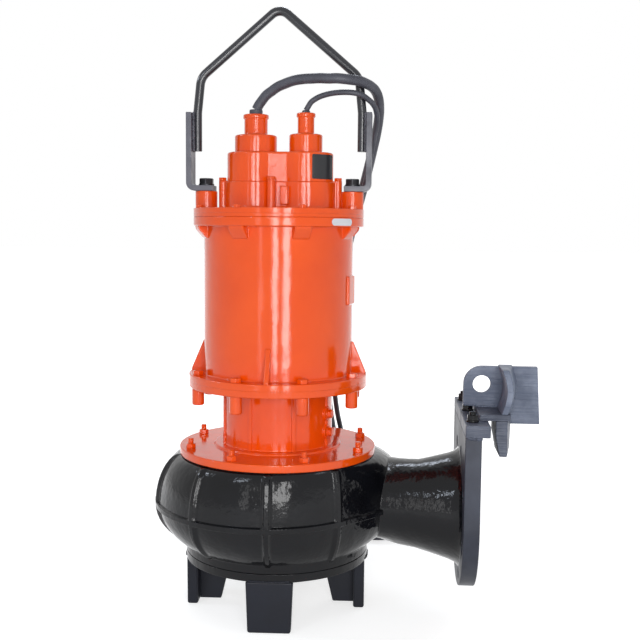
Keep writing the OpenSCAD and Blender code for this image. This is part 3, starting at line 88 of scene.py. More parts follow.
# %% [markdown]
# ## Shared effects for the finishes
# Paint on a casting is never flat: the sand of the mould leaves lumps, the spray leaves a fine
# peel, and the colour pools. Each effect is a node group with named inputs, so that every finish
# places the same effect with its own numbers. The groups only put out heights, masks and colours.
# The shaders stay in the materials.


# %% Node groups
FLOAT, COLOUR = "NodeSocketFloat", "NodeSocketColor"


def srgb(red, green, blue):
    """Linear colour of a colour that is written as 0 to 255 on the screen."""
    made = []
    for part in (red, green, blue):
        v = part / 255
        made.append(v / 12.92 if v <= 0.04045 else ((v + 0.055) / 1.055) ** 2.4)
    return (*made, 1)


def add(tree, kind, inner=None, **values):
    """A new shader node with values for its inputs. In a label, _ stands for a space."""
    made = tree.nodes.new("ShaderNode" + kind)
    if inner:
        made.node_tree = inner
    for label, value in values.items():
        made.inputs[label.replace("_", " ")].default_value = value
    return made


def wire(tree, *wires):
    """Links, each written as a node and its output, then a node and its input."""
    for start, output, end, into in wires:
        tree.links.new(start.outputs[output], end.inputs[into])


def group(name, inputs, outputs):
    """An empty group whose inputs are numbers, or colours where the value is a tuple."""
    tree = bpy.data.node_groups.new(name, "ShaderNodeTree")
    for label, value in inputs.items():
        kind = COLOUR if isinstance(value, tuple) else FLOAT
        socket = tree.interface.new_socket(label, in_out="INPUT", socket_type=kind)
        socket.default_value = value
    for label, kind in outputs.items():
        tree.interface.new_socket(label, in_out="OUTPUT", socket_type=kind)
    return tree, tree.nodes.new("NodeGroupInput"), tree.nodes.new("NodeGroupOutput")


def lumps_group():
    """Height of soft casting lumps with a finer peel on top, from 0 to 1."""
    tree, given, out = group("lumps_and_peel", {"Lump Scale": 20, "Peel Scale": 300,
                                                "Peel Share": 0.2}, {"Height": FLOAT})
    where, mix = add(tree, "TexCoord"), add(tree, "Mix")
    lumps = add(tree, "TexNoise", Detail=2.5, Roughness=0.45)
    peel = add(tree, "TexNoise", Detail=2)
    wire(tree, (where, "Object", lumps, "Vector"), (where, "Object", peel, "Vector"),
         (given, "Lump Scale", lumps, "Scale"), (given, "Peel Scale", peel, "Scale"),
         (given, "Peel Share", mix, "Factor"), (lumps, "Fac", mix, "A"), (peel, "Fac", mix, "B"),
         (mix, "Result", out, "Height"))
    return tree


def clouds_group():
    """A colour that wanders between two colours in soft clouds, and a mask of the same clouds."""
    tree, given, out = group(
        "colour_clouds", {"Colour": (1, 1, 1, 1), "Second Colour": (0, 0, 0, 1), "Scale": 8,
                          "Low": 0.35, "High": 0.65}, {"Colour": COLOUR, "Mask": FLOAT})
    where, noise = add(tree, "TexCoord"), add(tree, "TexNoise", Detail=6)
    reach, mix = add(tree, "MapRange"), add(tree, "Mix")
    mix.data_type = "RGBA"
    wire(tree, (where, "Object", noise, "Vector"), (given, "Scale", noise, "Scale"),
         (noise, "Fac", reach, "Value"), (given, "Low", reach, "From Min"),
         (given, "High", reach, "From Max"), (reach, "Result", mix, "Factor"),
         (given, "Colour", mix, "A"), (given, "Second Colour", mix, "B"),
         (mix, "Result", out, "Colour"), (reach, "Result", out, "Mask"))
    return tree


def streaks_group():
    """Fine parallel marks, as a lathe, a rolling mill or a file leaves them, from 0 to 1."""
    tree, given, out = group("tool_marks", {"Along X": 400, "Along Y": 400, "Along Z": 20},
                             {"Height": FLOAT})
    where, stretch = add(tree, "TexCoord"), add(tree, "VectorMath")
    stretch.operation = "MULTIPLY"
    join, noise = add(tree, "CombineXYZ"), add(tree, "TexNoise", Scale=1, Detail=3)
    wire(tree, *[(given, "Along " + axis, join, axis) for axis in "XYZ"],
         (where, "Object", stretch, 0), (join, "Vector", stretch, 1),
         (stretch, "Vector", noise, "Vector"), (noise, "Fac", out, "Height"))
    return tree


LUMPS, CLOUDS, STREAKS = lumps_group(), clouds_group(), streaks_group()
print("groups:", [g.name for g in bpy.data.node_groups])

# %% [markdown]
# ## Finishes
# One function builds every finish, because they all have the same parts: a colour that wanders a
# little, a roughness that wanders with it, bumps, and edges that are rounded in the shading by a
# bevel node. The bevel node also draws the fillet where two castings meet in one mesh. What
# differs between paint, steel and rubber is only the numbers.


# %% Finish builder
FINISHES = {}


def finish(name, colour, second, rough, lump=(20, 300, 0.2), bump=(0.3, 0.6),
           cloud=(8, 0.35, 0.65), metallic=0, specular=0.5, edge=1, marks=None):
    """One finish. rough is low and high, lump is the two scales and the peel's share, bump is the
    strength and depth in millimetres, cloud is the scale and where the change starts and ends,
    edge is the rounding in millimetres, and marks, if given, takes the place of the lumps."""
    made = FINISHES[name] = bpy.data.materials.new(name)
    made.use_nodes = True
    tree = made.node_tree
    shader = tree.nodes["Principled BSDF"]
    shader.inputs["Metallic"].default_value = metallic
    shader.inputs["Specular IOR Level"].default_value = specular
    clouds = add(tree, "Group", CLOUDS, Colour=srgb(*colour), Second_Colour=srgb(*second),
                 Scale=cloud[0], Low=cloud[1], High=cloud[2])
    spread = add(tree, "MapRange", To_Min=rough[0], To_Max=rough[1])
    if marks:
        height = add(tree, "Group", STREAKS, Along_X=marks[0], Along_Y=marks[1], Along_Z=marks[2])
    else:
        height = add(tree, "Group", LUMPS, Lump_Scale=lump[0], Peel_Scale=lump[1],
                     Peel_Share=lump[2])
    bumps = add(tree, "Bump", Strength=bump[0], Distance=bump[1] / 1000)
    wire(tree, (clouds, "Colour", shader, "Base Color"), (clouds, "Mask", spread, "Value"),
         (spread, "Result", shader, "Roughness"), (height, "Height", bumps, "Height"),
         (bumps, "Normal", shader, "Normal"))
    if edge:
        rounding = add(tree, "Bevel", Radius=edge / 1000)
        rounding.samples = 4
        wire(tree, (rounding, "Normal", bumps, "Normal"))


# %% Paints
finish("orange_paint", (227, 80, 8), (217, 71, 5), (0.06, 0.11), lump=(42, 420, 0.14),
       bump=(0.6, 1.1), cloud=(9, 0.3, 0.7), specular=0.38, edge=1.6)
finish("black_paint", (16, 17, 21), (9, 9, 12), (0.06, 0.15), lump=(44, 170, 0.22),
       bump=(0.7, 2.1), cloud=(14, 0.3, 0.7), specular=0.25, edge=1.8)
finish("blue_grey_paint", (98, 104, 118), (82, 88, 102), (0.36, 0.52), lump=(60, 700, 0.3),
       bump=(0.5, 0.5), cloud=(18, 0.35, 0.65), specular=0.45, edge=1.2)
finish("claw_paint", (118, 126, 144), (84, 92, 110), (0.34, 0.5), bump=(1.0, 1.4),
       cloud=(22, 0.32, 0.62), specular=0.3, edge=1.0, marks=(16, 16, 300))
# A darker copy of the claw's paint for the ledge and the claw's lower faces: painted shade on the
# parts that sit low, under the claw's plate.
finish("ledge_painted_shade", (86, 92, 107), (58, 63, 77), (0.34, 0.5), bump=(1.0, 1.4),
       cloud=(22, 0.32, 0.62), specular=0.3, edge=1.0, marks=(16, 16, 300))
# A lighter grey for the flange of the black casting: painted reflection of a broad light on its
# faces.
finish("flange_painted_reflection", (56, 60, 72), (32, 34, 43), (0.36, 0.52), lump=(40, 600, 0.3),
       bump=(0.5, 0.7), cloud=(12, 0.3, 0.7), specular=0.3, edge=1.6)
# A much darker copy of the blue-grey paint for the legs: painted shade, because they stand in
# shadow under the casing.
finish("leg_painted_shade", (22, 25, 35), (16, 18, 27), (0.34, 0.5), lump=(60, 700, 0.3),
       bump=(0.5, 0.5), cloud=(18, 0.35, 0.65), specular=0.25, edge=1.2)
finish("black_bar_paint", (42, 43, 49), (30, 31, 36), (0.12, 0.22), lump=(50, 220, 0.1),
       bump=(0.3, 0.5), cloud=(25, 0.3, 0.7), edge=0)
finish("bracket_steel", (84, 85, 95), (60, 61, 70), (0.3, 0.5), lump=(60, 600, 0.3),
       bump=(0.4, 0.5), cloud=(30, 0.35, 0.65), specular=0.5, edge=0.8)
finish("black_plate", (26, 27, 31), (20, 21, 25), (0.25, 0.4), lump=(80, 900, 0.5),
       bump=(0.3, 0.15), edge=0.3)
print("paints:", len(FINISHES))

# %% Metals, rubber and board
finish("dark_steel", (58, 58, 60), (34, 34, 38), (0.3, 0.48), lump=(90, 900, 0.4), bump=(0.4, 0.3),
       cloud=(60, 0.35, 0.65), metallic=0.85, edge=0.4)
finish("machined_steel", (176, 178, 182), (158, 160, 165), (0.2, 0.32), bump=(0.25, 0.08),
       metallic=1, edge=0.4, marks=(60, 60, 1800))
finish("bearing_steel", (196, 198, 202), (182, 184, 190), (0.1, 0.18), bump=(0.15, 0.05),
       metallic=1, edge=0.2, marks=(50, 50, 1500))
finish("cast_grey", (122, 124, 128), (104, 106, 111), (0.5, 0.68), lump=(70, 620, 0.45),
       bump=(0.6, 0.6), metallic=0.35, edge=0.8)
finish("impeller_iron", (112, 108, 104), (92, 86, 80), (0.42, 0.62), lump=(60, 520, 0.4),
       bump=(0.6, 0.7), metallic=0.5, edge=0.8)
finish("core_steel", (108, 111, 118), (92, 95, 102), (0.4, 0.55), bump=(0.5, 0.3), metallic=0.7,
       edge=0.2, marks=(5, 5, 2000))
finish("cast_aluminium", (186, 188, 190), (168, 170, 174), (0.34, 0.5), lump=(80, 700, 0.4),
       bump=(0.4, 0.3), metallic=0.9, edge=0.4)
finish("copper_winding", (178, 104, 60), (150, 78, 42), (0.25, 0.4), bump=(0.8, 0.8),
       metallic=0.6, edge=0.5, marks=(700, 700, 40))
finish("bronze", (176, 130, 70), (156, 108, 52), (0.28, 0.4), bump=(0.3, 0.1), metallic=0.95,
       edge=0.3, marks=(60, 60, 1200))
finish("brass_studs", (206, 170, 84), (190, 150, 66), (0.2, 0.34), bump=(0.3, 0.1), metallic=1,
       edge=0.2, marks=(80, 80, 1500))
finish("silver_tag", (214, 216, 220), (198, 200, 206), (0.28, 0.42), bump=(0.2, 0.05),
       metallic=0.1, edge=0.2, marks=(900, 900, 30))
finish("board", (66, 46, 34), (54, 38, 28), (0.4, 0.55), lump=(40, 900, 0.4), bump=(0.3, 0.2),
       edge=0.4)
finish("lead_sheath", (200, 70, 46), (182, 58, 38), (0.35, 0.5), lump=(60, 900, 0.4),
       bump=(0.3, 0.15), edge=0)
finish("cable_rubber", (70, 71, 80), (54, 55, 63), (0.42, 0.6), lump=(110, 1100, 0.5),
       bump=(0.6, 0.5), cloud=(40, 0.3, 0.7), specular=0.4, edge=0)
finish("seal_rubber", (36, 36, 38), (28, 28, 30), (0.45, 0.6), lump=(80, 1000, 0.5),
       bump=(0.3, 0.2), edge=0)
finish("seal_face", (150, 152, 156), (136, 138, 143), (0.14, 0.22), bump=(0.15, 0.04),
       metallic=0.4, edge=0.2, marks=(60, 60, 1500))
finish("seal_carbon", (44, 45, 48), (36, 37, 40), (0.25, 0.36), lump=(90, 1100, 0.5),
       bump=(0.2, 0.1), edge=0.2)
print("finishes:", len(FINISHES))

# %% [markdown]
# ## The two cables
# The supply cable is 18 mm thick and the control cable 10 mm. Both leave their gland straight up,
# bend over towards the right and then drop behind the motor. The photograph shows no more, so the
# spare length lies behind the pump as two coils. A cable is a curve with a round section, because
# then its own line is its length, and Bezier handles that are set to auto keep the bends smooth.

# %% Routes
POWER_ROUTE = [
    (-42, 0, 907), (-37, 0, 916), (-31, -1, 924), (-24, -3, 932), (-14, -5, 939), (-3, -8, 946),
    (10, -12, 951), (27, -17, 956), (45, -22, 958), (60, -27, 958), (75, -31, 958), (90, -34, 957),
    (104, -36, 957), (118, -35, 956), (131, -31, 955), (144, -25, 954), (155, -16, 951),
    (165, -4, 947), (172, 9, 941), (177, 23, 931), (179, 37, 917), (178, 52, 898), (174, 66, 873),
    (167, 80, 842), (158, 93, 805), (147, 105, 763), (134, 118, 716), (121, 129, 665),
    (112, 138, 615), (103, 147, 560), (94, 156, 500), (84, 166, 432), (80, 177, 378),
    (82, 196, 330), (87, 222, 285), (92, 252, 238), (95, 277, 190), (97, 298, 140), (97, 319, 95),
    (95, 340, 60), (91, 361, 35), (87, 382, 20), (83, 402, 12), (81, 422, 9),
]
CONTROL_ROUTE = [
    (48, 0, 906), (52, 0, 913), (57, -2, 920), (64, -4, 925), (72, -6, 929), (82, -9, 932),
    (93, -13, 934), (107, -18, 935), (121, -21, 935), (134, -21, 934), (147, -18, 931),
    (158, -10, 925), (168, 2, 917), (174, 16, 905), (175, 30, 887), (170, 44, 861),
    (164, 57, 830), (158, 69, 797), (150, 81, 766), (140, 92, 729), (129, 103, 686),
    (118, 113, 635), (110, 123, 570), (103, 135, 500), (97, 146, 432), (96, 158, 378),
    (100, 177, 330), (107, 205, 285), (114, 237, 238), (119, 263, 190), (119, 285, 140),
    (119, 307, 95), (117, 330, 56), (114, 352, 28), (112, 373, 12), (109, 395, 6), (107, 416, 5),
]

# %% [markdown]
# ## Winding the coils
# A coil is wound in layers. Inside a layer the cable shifts one diameter sideways at the end of
# each turn, and at the end of a layer it climbs onto the next one. If every shift came at the
# same place, the cable would run through itself, so each layer makes its shifts a quarter turn
# earlier than the layer below it. The path is a list of stations, each an angle, a radius and a
# height, and a cosine eases from one to the next.


# %% Coil stations
QUARTER = 90   # the turn, in degrees, over which a cable shifts sideways or climbs


def coil_stations(mid_radius, diameter, side, top):
    """Stations of a square coil: (angle, radius, height), with the angle always growing. The last
    turn climbs to the height top."""
    columns = [mid_radius + diameter * (side - 1 - 2 * i) / 2 for i in range(side)]
    stations = [(0, columns[0], diameter / 2)]
    angle, place = 0, 0
    for layer in range(side):
        height = diameter * (layer + 0.5)
        window = 360 - QUARTER * (layer + 1)
        step = 1 if layer % 2 == 0 else -1
        for _ in range(side - 1):
            start = window + 360 * ceil((angle - window - 0.01) / 360)
            stations.append((start, columns[place], height))
            place += step
            stations.append((start + QUARTER, columns[place], height))
            angle = start + QUARTER
        window -= QUARTER
        start = window + 360 * ceil((angle - window - 0.01) / 360)
        rise = top if layer == side - 1 else height + diameter
        stations.append((start, columns[place], height))
        stations.append((start + QUARTER, columns[place], rise))
        angle = start + QUARTER
    return stations


def along(stations, angle):
    """Radius and height at an angle."""
    for (a0, r0, z0), (a1, r1, z1) in zip(stations, stations[1:]):
        if a0 <= angle <= a1:
            share = 0 if a1 == a0 else (angle - a0) / (a1 - a0)
            eased = (1 - cos(pi * share)) / 2
            return r0 + (r1 - r0) * eased, z0 + (z1 - z0) * eased
    return stations[-1][1:]


POWER_COIL, POWER_TOP, POWER_MIDDLE = (-40, 440), 64.5, 101.5
CONTROL_COIL, CONTROL_TOP, CONTROL_MIDDLE = (180, 440), 46.5, 60
power_stations = coil_stations(POWER_MIDDLE, 18, 3, POWER_TOP)
control_stations = coil_stations(CONTROL_MIDDLE, 10, 4, CONTROL_TOP)
print("power coil stations:", len(power_stations), "control coil stations:", len(control_stations))


# %% [markdown]
# ## The cables' tails
# Each coil's last turn climbs on top of the coil and runs into the cable's free end, which lies
# there. The end is a taped boot with bare cores, because a pump like this is wired to its starter
# box on site and comes without a plug.



# %% Winding
def wound(centre, stations, first, sense, step, until, radius, last):
    """Points of a coil from its first angle, wound with sense +1 (anticlockwise) or -1, and of the
    tail that runs on top of it, until an angle and a radius, to the last points."""
    def at(angle, reach, height):
        turn = radians(first + sense * angle)
        return centre[0] + reach * cos(turn), centre[1] + reach * sin(turn), height

    end, start_radius, top = stations[-1]
    count = round(end / step)
    points = [at(end * i / count, *along(stations, end * i / count)) for i in range(count + 1)]
    steps = max(2, round((until - end) / 18))
    for i in range(1, steps + 1):
        share = i / steps
        points.append(at(end + (until - end) * share,
                         start_radius + (radius - start_radius) * share, top))
    return points + last


power_turns = wound(POWER_COIL, power_stations, 0, 1, 18, 3112, 86,
                    [(-71, 356, POWER_TOP), (-54, 356, POWER_TOP)])
control_turns = wound(CONTROL_COIL, control_stations, 180, -1, 20, control_stations[-1][0] + 175,
                      73, [(236, 391, CONTROL_TOP), (221, 386, CONTROL_TOP),
                           (210, 386, CONTROL_TOP)])
print("points in the coils:", len(power_turns), len(control_turns))



# %% Cables
def tube_curve(name, points, radius, finish_name):
    """A round cable along its points, as one smooth open curve, and its length in metres."""
    curve = bpy.data.curves.new(name, "CURVE")
    curve.dimensions = "3D"
    curve.bevel_depth = radius / 1000
    curve.bevel_resolution = 4
    curve.resolution_u = 6
    curve.use_fill_caps = True
    spline = curve.splines.new("BEZIER")
    spline.bezier_points.add(len(points) - 1)
    for knot, point in zip(spline.bezier_points, points):
        knot.co = [v / 1000 for v in point]
        knot.handle_left_type = knot.handle_right_type = "AUTO"
    made = bpy.data.objects.new(name, curve)
    scene.collection.objects.link(made)
    curve.materials.append(FINISHES[finish_name])
    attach(made, "housing")
    bpy.context.view_layer.update()
    return made, round(spline.calc_length(), 3)


power_cable, power_length = tube_curve(
    "power_cable_run", POWER_ROUTE + power_turns, 9, "cable_rubber")
control_cable, control_length = tube_curve(
    "control_cable_run", CONTROL_ROUTE + control_turns, 5, "cable_rubber")
print("cables:", power_length, control_length, "m")

# %% [markdown]
# ## Tools for the shapes
# Most of this pump is turned, cut from plate or cast. So three helpers do most of the work: a
# turned body is a half outline that spin sweeps round the axis, a plate is an outline that is
# filled and extruded, and a loft bridges a row of loops. `soften` bevels the sharp edges that a
# casting never has. Everything of one casting is put into one mesh, so that the bevel node can
# draw the fillets between its shapes.


# %% Turned bodies and plates
def turned(outline, steps=96, closed=True):
    """Spins an outline of (radius, height) once round Z."""
    shape = bmesh.new()
    ring = [shape.verts.new((r, 0, z)) for r, z in outline]
    links = [shape.edges.new(pair) for pair in zip(ring, ring[1:])]
    if closed:
        links.append(shape.edges.new((ring[-1], ring[0])))
    bmesh.ops.spin(shape, geom=ring + links, cent=(0, 0, 0), axis=(0, 0, 1), angle=2 * pi,
                   steps=steps, use_merge=True)
    bmesh.ops.remove_doubles(shape, verts=shape.verts, dist=0.002)
    bmesh.ops.recalc_face_normals(shape, faces=shape.faces)
    return shape


def rim(radius, angles, x=0, y=0):
    """Points of a circle round (x, y), at angles in degrees."""
    return [(x + radius * cos(radians(a)), y + radius * sin(radians(a))) for a in angles]


def loop_edges(shape, points):
    """A closed loop of edges through the points."""
    ring = [shape.verts.new(p) for p in points]
    return [shape.edges.new(pair) for pair in zip(ring, ring[1:] + ring[:1])]


def plate(outline, thick, holes=(), hole_outlines=()):
    """A flat plate that stands on z = 0, with round holes (x, y, radius) and shaped holes."""
    shape = bmesh.new()
    rims = loop_edges(shape, [(x, y, 0) for x, y in outline])
    for x, y, r in holes:
        bmesh.ops.create_circle(shape, segments=32, radius=r,
                                matrix=Matrix.Translation((x, y, 0)))
    for hole in hole_outlines:
        loop_edges(shape, [(x, y, 0) for x, y in hole])
    if holes or hole_outlines:
        bmesh.ops.triangle_fill(shape, edges=shape.edges[:], use_beauty=True)
    else:
        shape.faces.new([e.verts[0] for e in rims])
    grown = bmesh.ops.extrude_face_region(shape, geom=shape.faces[:])
    lifted = [v for v in grown["geom"] if isinstance(v, bmesh.types.BMVert)]
    bmesh.ops.translate(shape, vec=(0, 0, thick), verts=lifted)
    bmesh.ops.recalc_face_normals(shape, faces=shape.faces)
    return shape


def loft(loops, capped=True, ring=False):
    """Skins a row of loops, each a list of the same number of points."""
    shape = bmesh.new()
    rims = [loop_edges(shape, points) for points in loops]
    pairs = list(zip(rims, rims[1:])) + ([(rims[-1], rims[0])] if ring else [])
    for low, high in pairs:
        bmesh.ops.bridge_loops(shape, edges=low + high)
    if capped and not ring:
        for last in (rims[0], rims[-1]):
            bmesh.ops.contextual_create(shape, geom=last)
    bmesh.ops.recalc_face_normals(shape, faces=shape.faces)
    return shape


# %% Small shapes and softening
def soften(shape, width, segments=2, angle=28, where=None):
    """Bevels the edges that are sharper than the angle."""
    sharp = [e for e in shape.edges if len(e.link_faces) == 2
             and e.calc_face_angle(0) > radians(angle)
             and (where is None or where((e.verts[0].co + e.verts[1].co) / 2))]
    bmesh.ops.bevel(shape, geom=sharp, offset=width, offset_type="OFFSET", segments=segments,
                    profile=0.5, affect="EDGES", clamp_overlap=True, material=-1)
    return shape


def block(x, y, z):
    """A box between three pairs of numbers."""
    shape = bmesh.new()
    size = Matrix.Diagonal((x[1] - x[0], y[1] - y[0], z[1] - z[0], 1))
    middle = Matrix.Translation(((x[0] + x[1]) / 2, (y[0] + y[1]) / 2, (z[0] + z[1]) / 2))
    bmesh.ops.create_cube(shape, size=1, matrix=middle @ size)
    return shape


def rod(radius, low, high, sides=32, top=None):
    """A round bar along Z, or a taper if top gives another radius."""
    shape = bmesh.new()
    bmesh.ops.create_cone(shape, cap_ends=True, segments=sides, radius1=radius,
                          radius2=radius if top is None else top, depth=high - low,
                          matrix=Matrix.Translation((0, 0, (low + high) / 2)))
    return shape


def hexagon(across, high, chamfer=0.9):
    """A hexagon head or nut on z = 0, with its corners taken off at the top."""
    shape = rod(across / 2 / cos(pi / 6), 0, high, sides=6)
    return soften(shape, chamfer, 2, where=lambda p: p.z > 0.1)


def threaded(radius, low, high, pitch=1.6, depth=0.45):
    """A stud's end with thread ridges and a small chamfer."""
    outline, z = [(0, low), (radius, low)], low + pitch
    while z < high - 1.5 * pitch:
        outline += [(radius, z), (radius - depth, z + pitch / 2)]
        z += pitch
    outline += [(radius, high - 1), (radius - 1, high), (0, high)]
    return turned(outline, 20, closed=False)


# %% Putting shapes together
def moved(x=0, y=0, z=0):
    return Matrix.Translation((x, y, z))


def turned_by(angle, axis="Z"):
    return Matrix.Rotation(radians(angle), 4, axis)


def around(count, radius, first=0):
    """Places on a circle, each with its own X pointing outwards."""
    return [turned_by(first + 360 * i / count) @ moved(radius) for i in range(count)]


UPRIGHT = turned_by(90, "X")          # a plate's Y becomes Z, and its thickness runs to -Y
ALONG_X = Matrix(((0, 0, 1, 0), (1, 0, 0, 0), (0, 1, 0, 0), (0, 0, 0, 1)))   # Z becomes X


def put(target, shape, *places):
    """Adds a shape to the target mesh at each place, and frees it."""
    holder = bpy.data.meshes.new("holder")
    for place in places or (Matrix(),):
        copy = shape.copy()
        bmesh.ops.transform(copy, matrix=place, verts=copy.verts)
        copy.to_mesh(holder)
        copy.free()
        target.from_mesh(holder)
    bpy.data.meshes.remove(holder)
    shape.free()


def piece(name, shape, slot, nodes=(), body="housing", sharp=40, paint=None):
    bmesh.ops.scale(shape, vec=(0.001, 0.001, 0.001), verts=shape.verts)
    mesh = bpy.data.meshes.new(name)
    shape.to_mesh(mesh)
    shape.free()
    mesh.shade_smooth()
    mesh.set_sharp_from_angle(angle=radians(sharp))
    made = bpy.data.objects.new(name, mesh)
    scene.collection.objects.link(made)
    mesh.materials.append(FINISHES[paint or slot])
    flat = made.modifiers.new("flat faces stay flat", "WEIGHTED_NORMAL")
    flat.keep_sharp = True
    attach(made, body)
    if nodes:
        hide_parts(*nodes)
    print(name, len(mesh.polygons), "faces")
    return made


def repaint(made, paint, chosen):
    """A second finish on the faces whose middle is chosen. Below, it carries painted shade on the
    claw and a painted reflection on the flange.
    """
    made.data.materials.append(FINISHES[paint])
    for face in made.data.polygons:
        face.material_index = int(chosen(face.center))


# %% [markdown]
# ## Cable ends and ties
# A free end has a rubber boot, four cores and flat lugs. Each coil is held by two cable ties,
# which are flat straps bent round the bundle, with the small lock on the outside. A strap is a
# rounded rectangle that is lofted to a thin band.


# %% Cable ends
def cable_end(radius, boot, core_long, core, lug):
    """A boot with four cores and their lugs, along +X from the origin."""
    shape = bmesh.new()
    outline = [(0, 0)] + [(radius + more, z) for more, z in (
        (0.8, 0), (1.5, 1), (1.5, boot * 0.55), (0.9, boot * 0.8), (0.4, boot - 1), (-0.6, boot))]
    put(shape, turned(outline + [(0, boot)], 40, closed=False), ALONG_X)
    end, low = boot + core_long, core - radius
    for side in [(i - 1.5) * core * 2.2 for i in range(4)]:
        put(shape, soften(rod(core, boot - 2 * core, end, 20), core / 5),
            moved(0, side, low) @ ALONG_X)
        collar = soften(rod(core * 1.05, end - 1, end + lug / 3, 20), 0.2)
        put(shape, collar, moved(0, side, low) @ ALONG_X)
        flat = block((end, end + lug), (-core, core), (-core / 4, core / 4))
        put(shape, soften(flat, core / 8), moved(0, side, low))
    return shape


def strap(width, high, thick, band):
    """A tie round a bundle of that width and height, in the XZ plane, its band along Y."""
    def frame_of(grow, y):
        corner = 4 + grow
        points = []
        for cx, cz, first in ((1, 1, 0), (-1, 1, 90), (-1, -1, 180), (1, -1, 270)):
            points += rim(corner, [first + 22.5 * k for k in range(5)],
                          cx * (width / 2 + grow - corner), cz * (high / 2 + grow - corner))
        return [(x, y, z) for x, z in points]
    return loft([frame_of(grow, y) for grow, y in (
        (0, -band / 2), (thick, -band / 2), (thick, band / 2), (0, band / 2))], ring=True)


power_end, control_end = bmesh.new(), bmesh.new()
put(power_end, cable_end(9, 42, 70, 2.75, 16), moved(-70, 356, POWER_TOP))
put(control_end, cable_end(5, 26, 34, 1.2, 8), moved(222, 386, CONTROL_TOP) @ turned_by(180))
power_end = piece("power_cable_free_end", power_end, "seal_rubber", ["power_cable_end"])
control_end = piece("control_cable_free_end", control_end, "seal_rubber", ["control_cable_end"])


# %% Ties
STRAP_THICK = 1.2   # also how far the strap is lifted off the floor


def ties(name, centre, middle, bundle, high, angles, band):
    """Two ties round a coil's bundle, at angles round the coil."""
    shape = bmesh.new()
    for angle in angles:
        spot = moved(*centre) @ turned_by(angle) @ moved(middle, 0, high / 2 + 0.2)
        put(shape, strap(bundle + 1.2, high + 0.2, STRAP_THICK, band),
            spot @ moved(0, 0, STRAP_THICK))
        lock = soften(block((-5, 5), (-band / 2 - 1, band / 2 + 1), (0, 5)), 0.8)
        put(shape, lock, spot @ moved(bundle / 2 - 8, 0, high / 2 + 1.8))
    return piece(name, shape, "seal_rubber")


power_ties = ties("power_coil_ties", POWER_COIL, POWER_MIDDLE, 54, 54.4, (150, 330), 7)
control_ties = ties("control_coil_ties", CONTROL_COIL, CONTROL_MIDDLE, 40, 40.4, (40, 220), 5)
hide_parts("power_cable", "power_coil")
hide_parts("control_cable", "control_coil")

# %% [markdown]
# ## Legs and suction cover
# The pump stands on four legs. Each one is a plate with a web behind it, welded under the suction
# cover. The plates are blocks and extruded outlines with softened edges, and the weld is a row of
# small overlapping drops along the joint, because a welder's bead has ripples that no bevel
# gives.


# %% Weld bead and legs
def bead(start, end, radius, seed, flat=0.8):
    """A row of overlapping drops from start to end."""
    drops, chance = bmesh.new(), random.Random(seed)
    start, end = Vector(start), Vector(end)
    count = max(2, round((end - start).length / (radius * 0.75)))
    for i in range(count + 1):
        r = radius * chance.uniform(0.8, 1.12)
        slip = Vector((chance.uniform(-0.3, 0.3) for _ in range(3))) * radius * 0.6
        place = Matrix.Translation(start.lerp(end, i / count) + slip)
        bmesh.ops.create_uvsphere(drops, u_segments=8, v_segments=5, radius=r,
                                  matrix=place @ Matrix.Diagonal((1, 1, flat, 1)))
    return drops


LEG_TURN, LEG_BACK, WELD_R = 1.5, 143.5, 167.6   # the front plate's back face, and the weld's arc
legs, leg_spots = bmesh.new(), around(4, 0, LEG_TURN)
leg_plate = plate([(-37.5, 0), (37.5, 0), (41, 91.5), (-41, 91.5)], 20)
put(legs, soften(leg_plate, 4, 3), *[spot @ turned_by(90) @ moved(0, -LEG_BACK) @ UPRIGHT
                                     for spot in leg_spots])
web = plate([(105, 0), (145, 0), (145, 79), (86, 79)], 14)
put(legs, soften(web, 2.2, 2), *[spot @ moved(0, 7) @ UPRIGHT for spot in leg_spots])
for turn, here in enumerate(leg_spots):
    for step in range(-3, 3):
        near, far = rim(WELD_R, (4 * step, 4 * step + 4))
        put(legs, bead((*near, 93.5), (*far, 93), 2.2, 50 + turn * 6 + step), here)
    for side, seed in ((-8, 10), (8, 20)):
        put(legs, bead((144, side, 4), (144, side, 76), 2, seed + turn), here)
# The legs take the darker copy of the blue-grey paint: painted shade.
piece("four_welded_legs", legs, "blue_grey_paint", ["support_legs"], paint="leg_painted_shade")

# %% [markdown]
# ## The scroll casing
# The casing is a scroll: its radius grows by a third of itself on the way round to the discharge
# branch. An Archimedes screw of sections could be lofted, but spin does it with less: one half
# section is spun into a ring, and then every vertex is pushed out by the scroll's growth at its
# own angle. The share of the growth that a vertex takes depends on how far out it lies, so the
# inner edge stays round and the outer edge runs out into the branch. The raised ribs and the seam
# of the mould are pushed out in the same pass.

# %% Scroll growth
START_R, GROWTH, TONGUE, FADE = 186, 86, -45, 270
MIDDLE_Z, LOW_Z, HIGH_Z = 191, 118, 283
RIB_HIGH, WALL, FIRST_RIB, RIB_STEP = 5.5, 12, 5, 39


def eased(u):
    """0 to 1 with soft ends."""
    u = min(1, max(0, u))
    return u * u * (3 - 2 * u)


def scroll_radius(angle):
    """Outer radius at an angle that is run through clockwise from the tongue."""
    grown = START_R + GROWTH * (min(angle, FADE) / FADE) ** 1.2
    return grown + (START_R - grown) * eased((angle - FADE) / (360 - FADE))


def rib_rise(angle):
    """Height of the upright ribs on the growing part."""
    off = abs((angle - FIRST_RIB + RIB_STEP / 2) % RIB_STEP - RIB_STEP / 2)
    return RIB_HIGH * eased((2.2 - off) / 0.9) if angle < FADE - 22 else 0


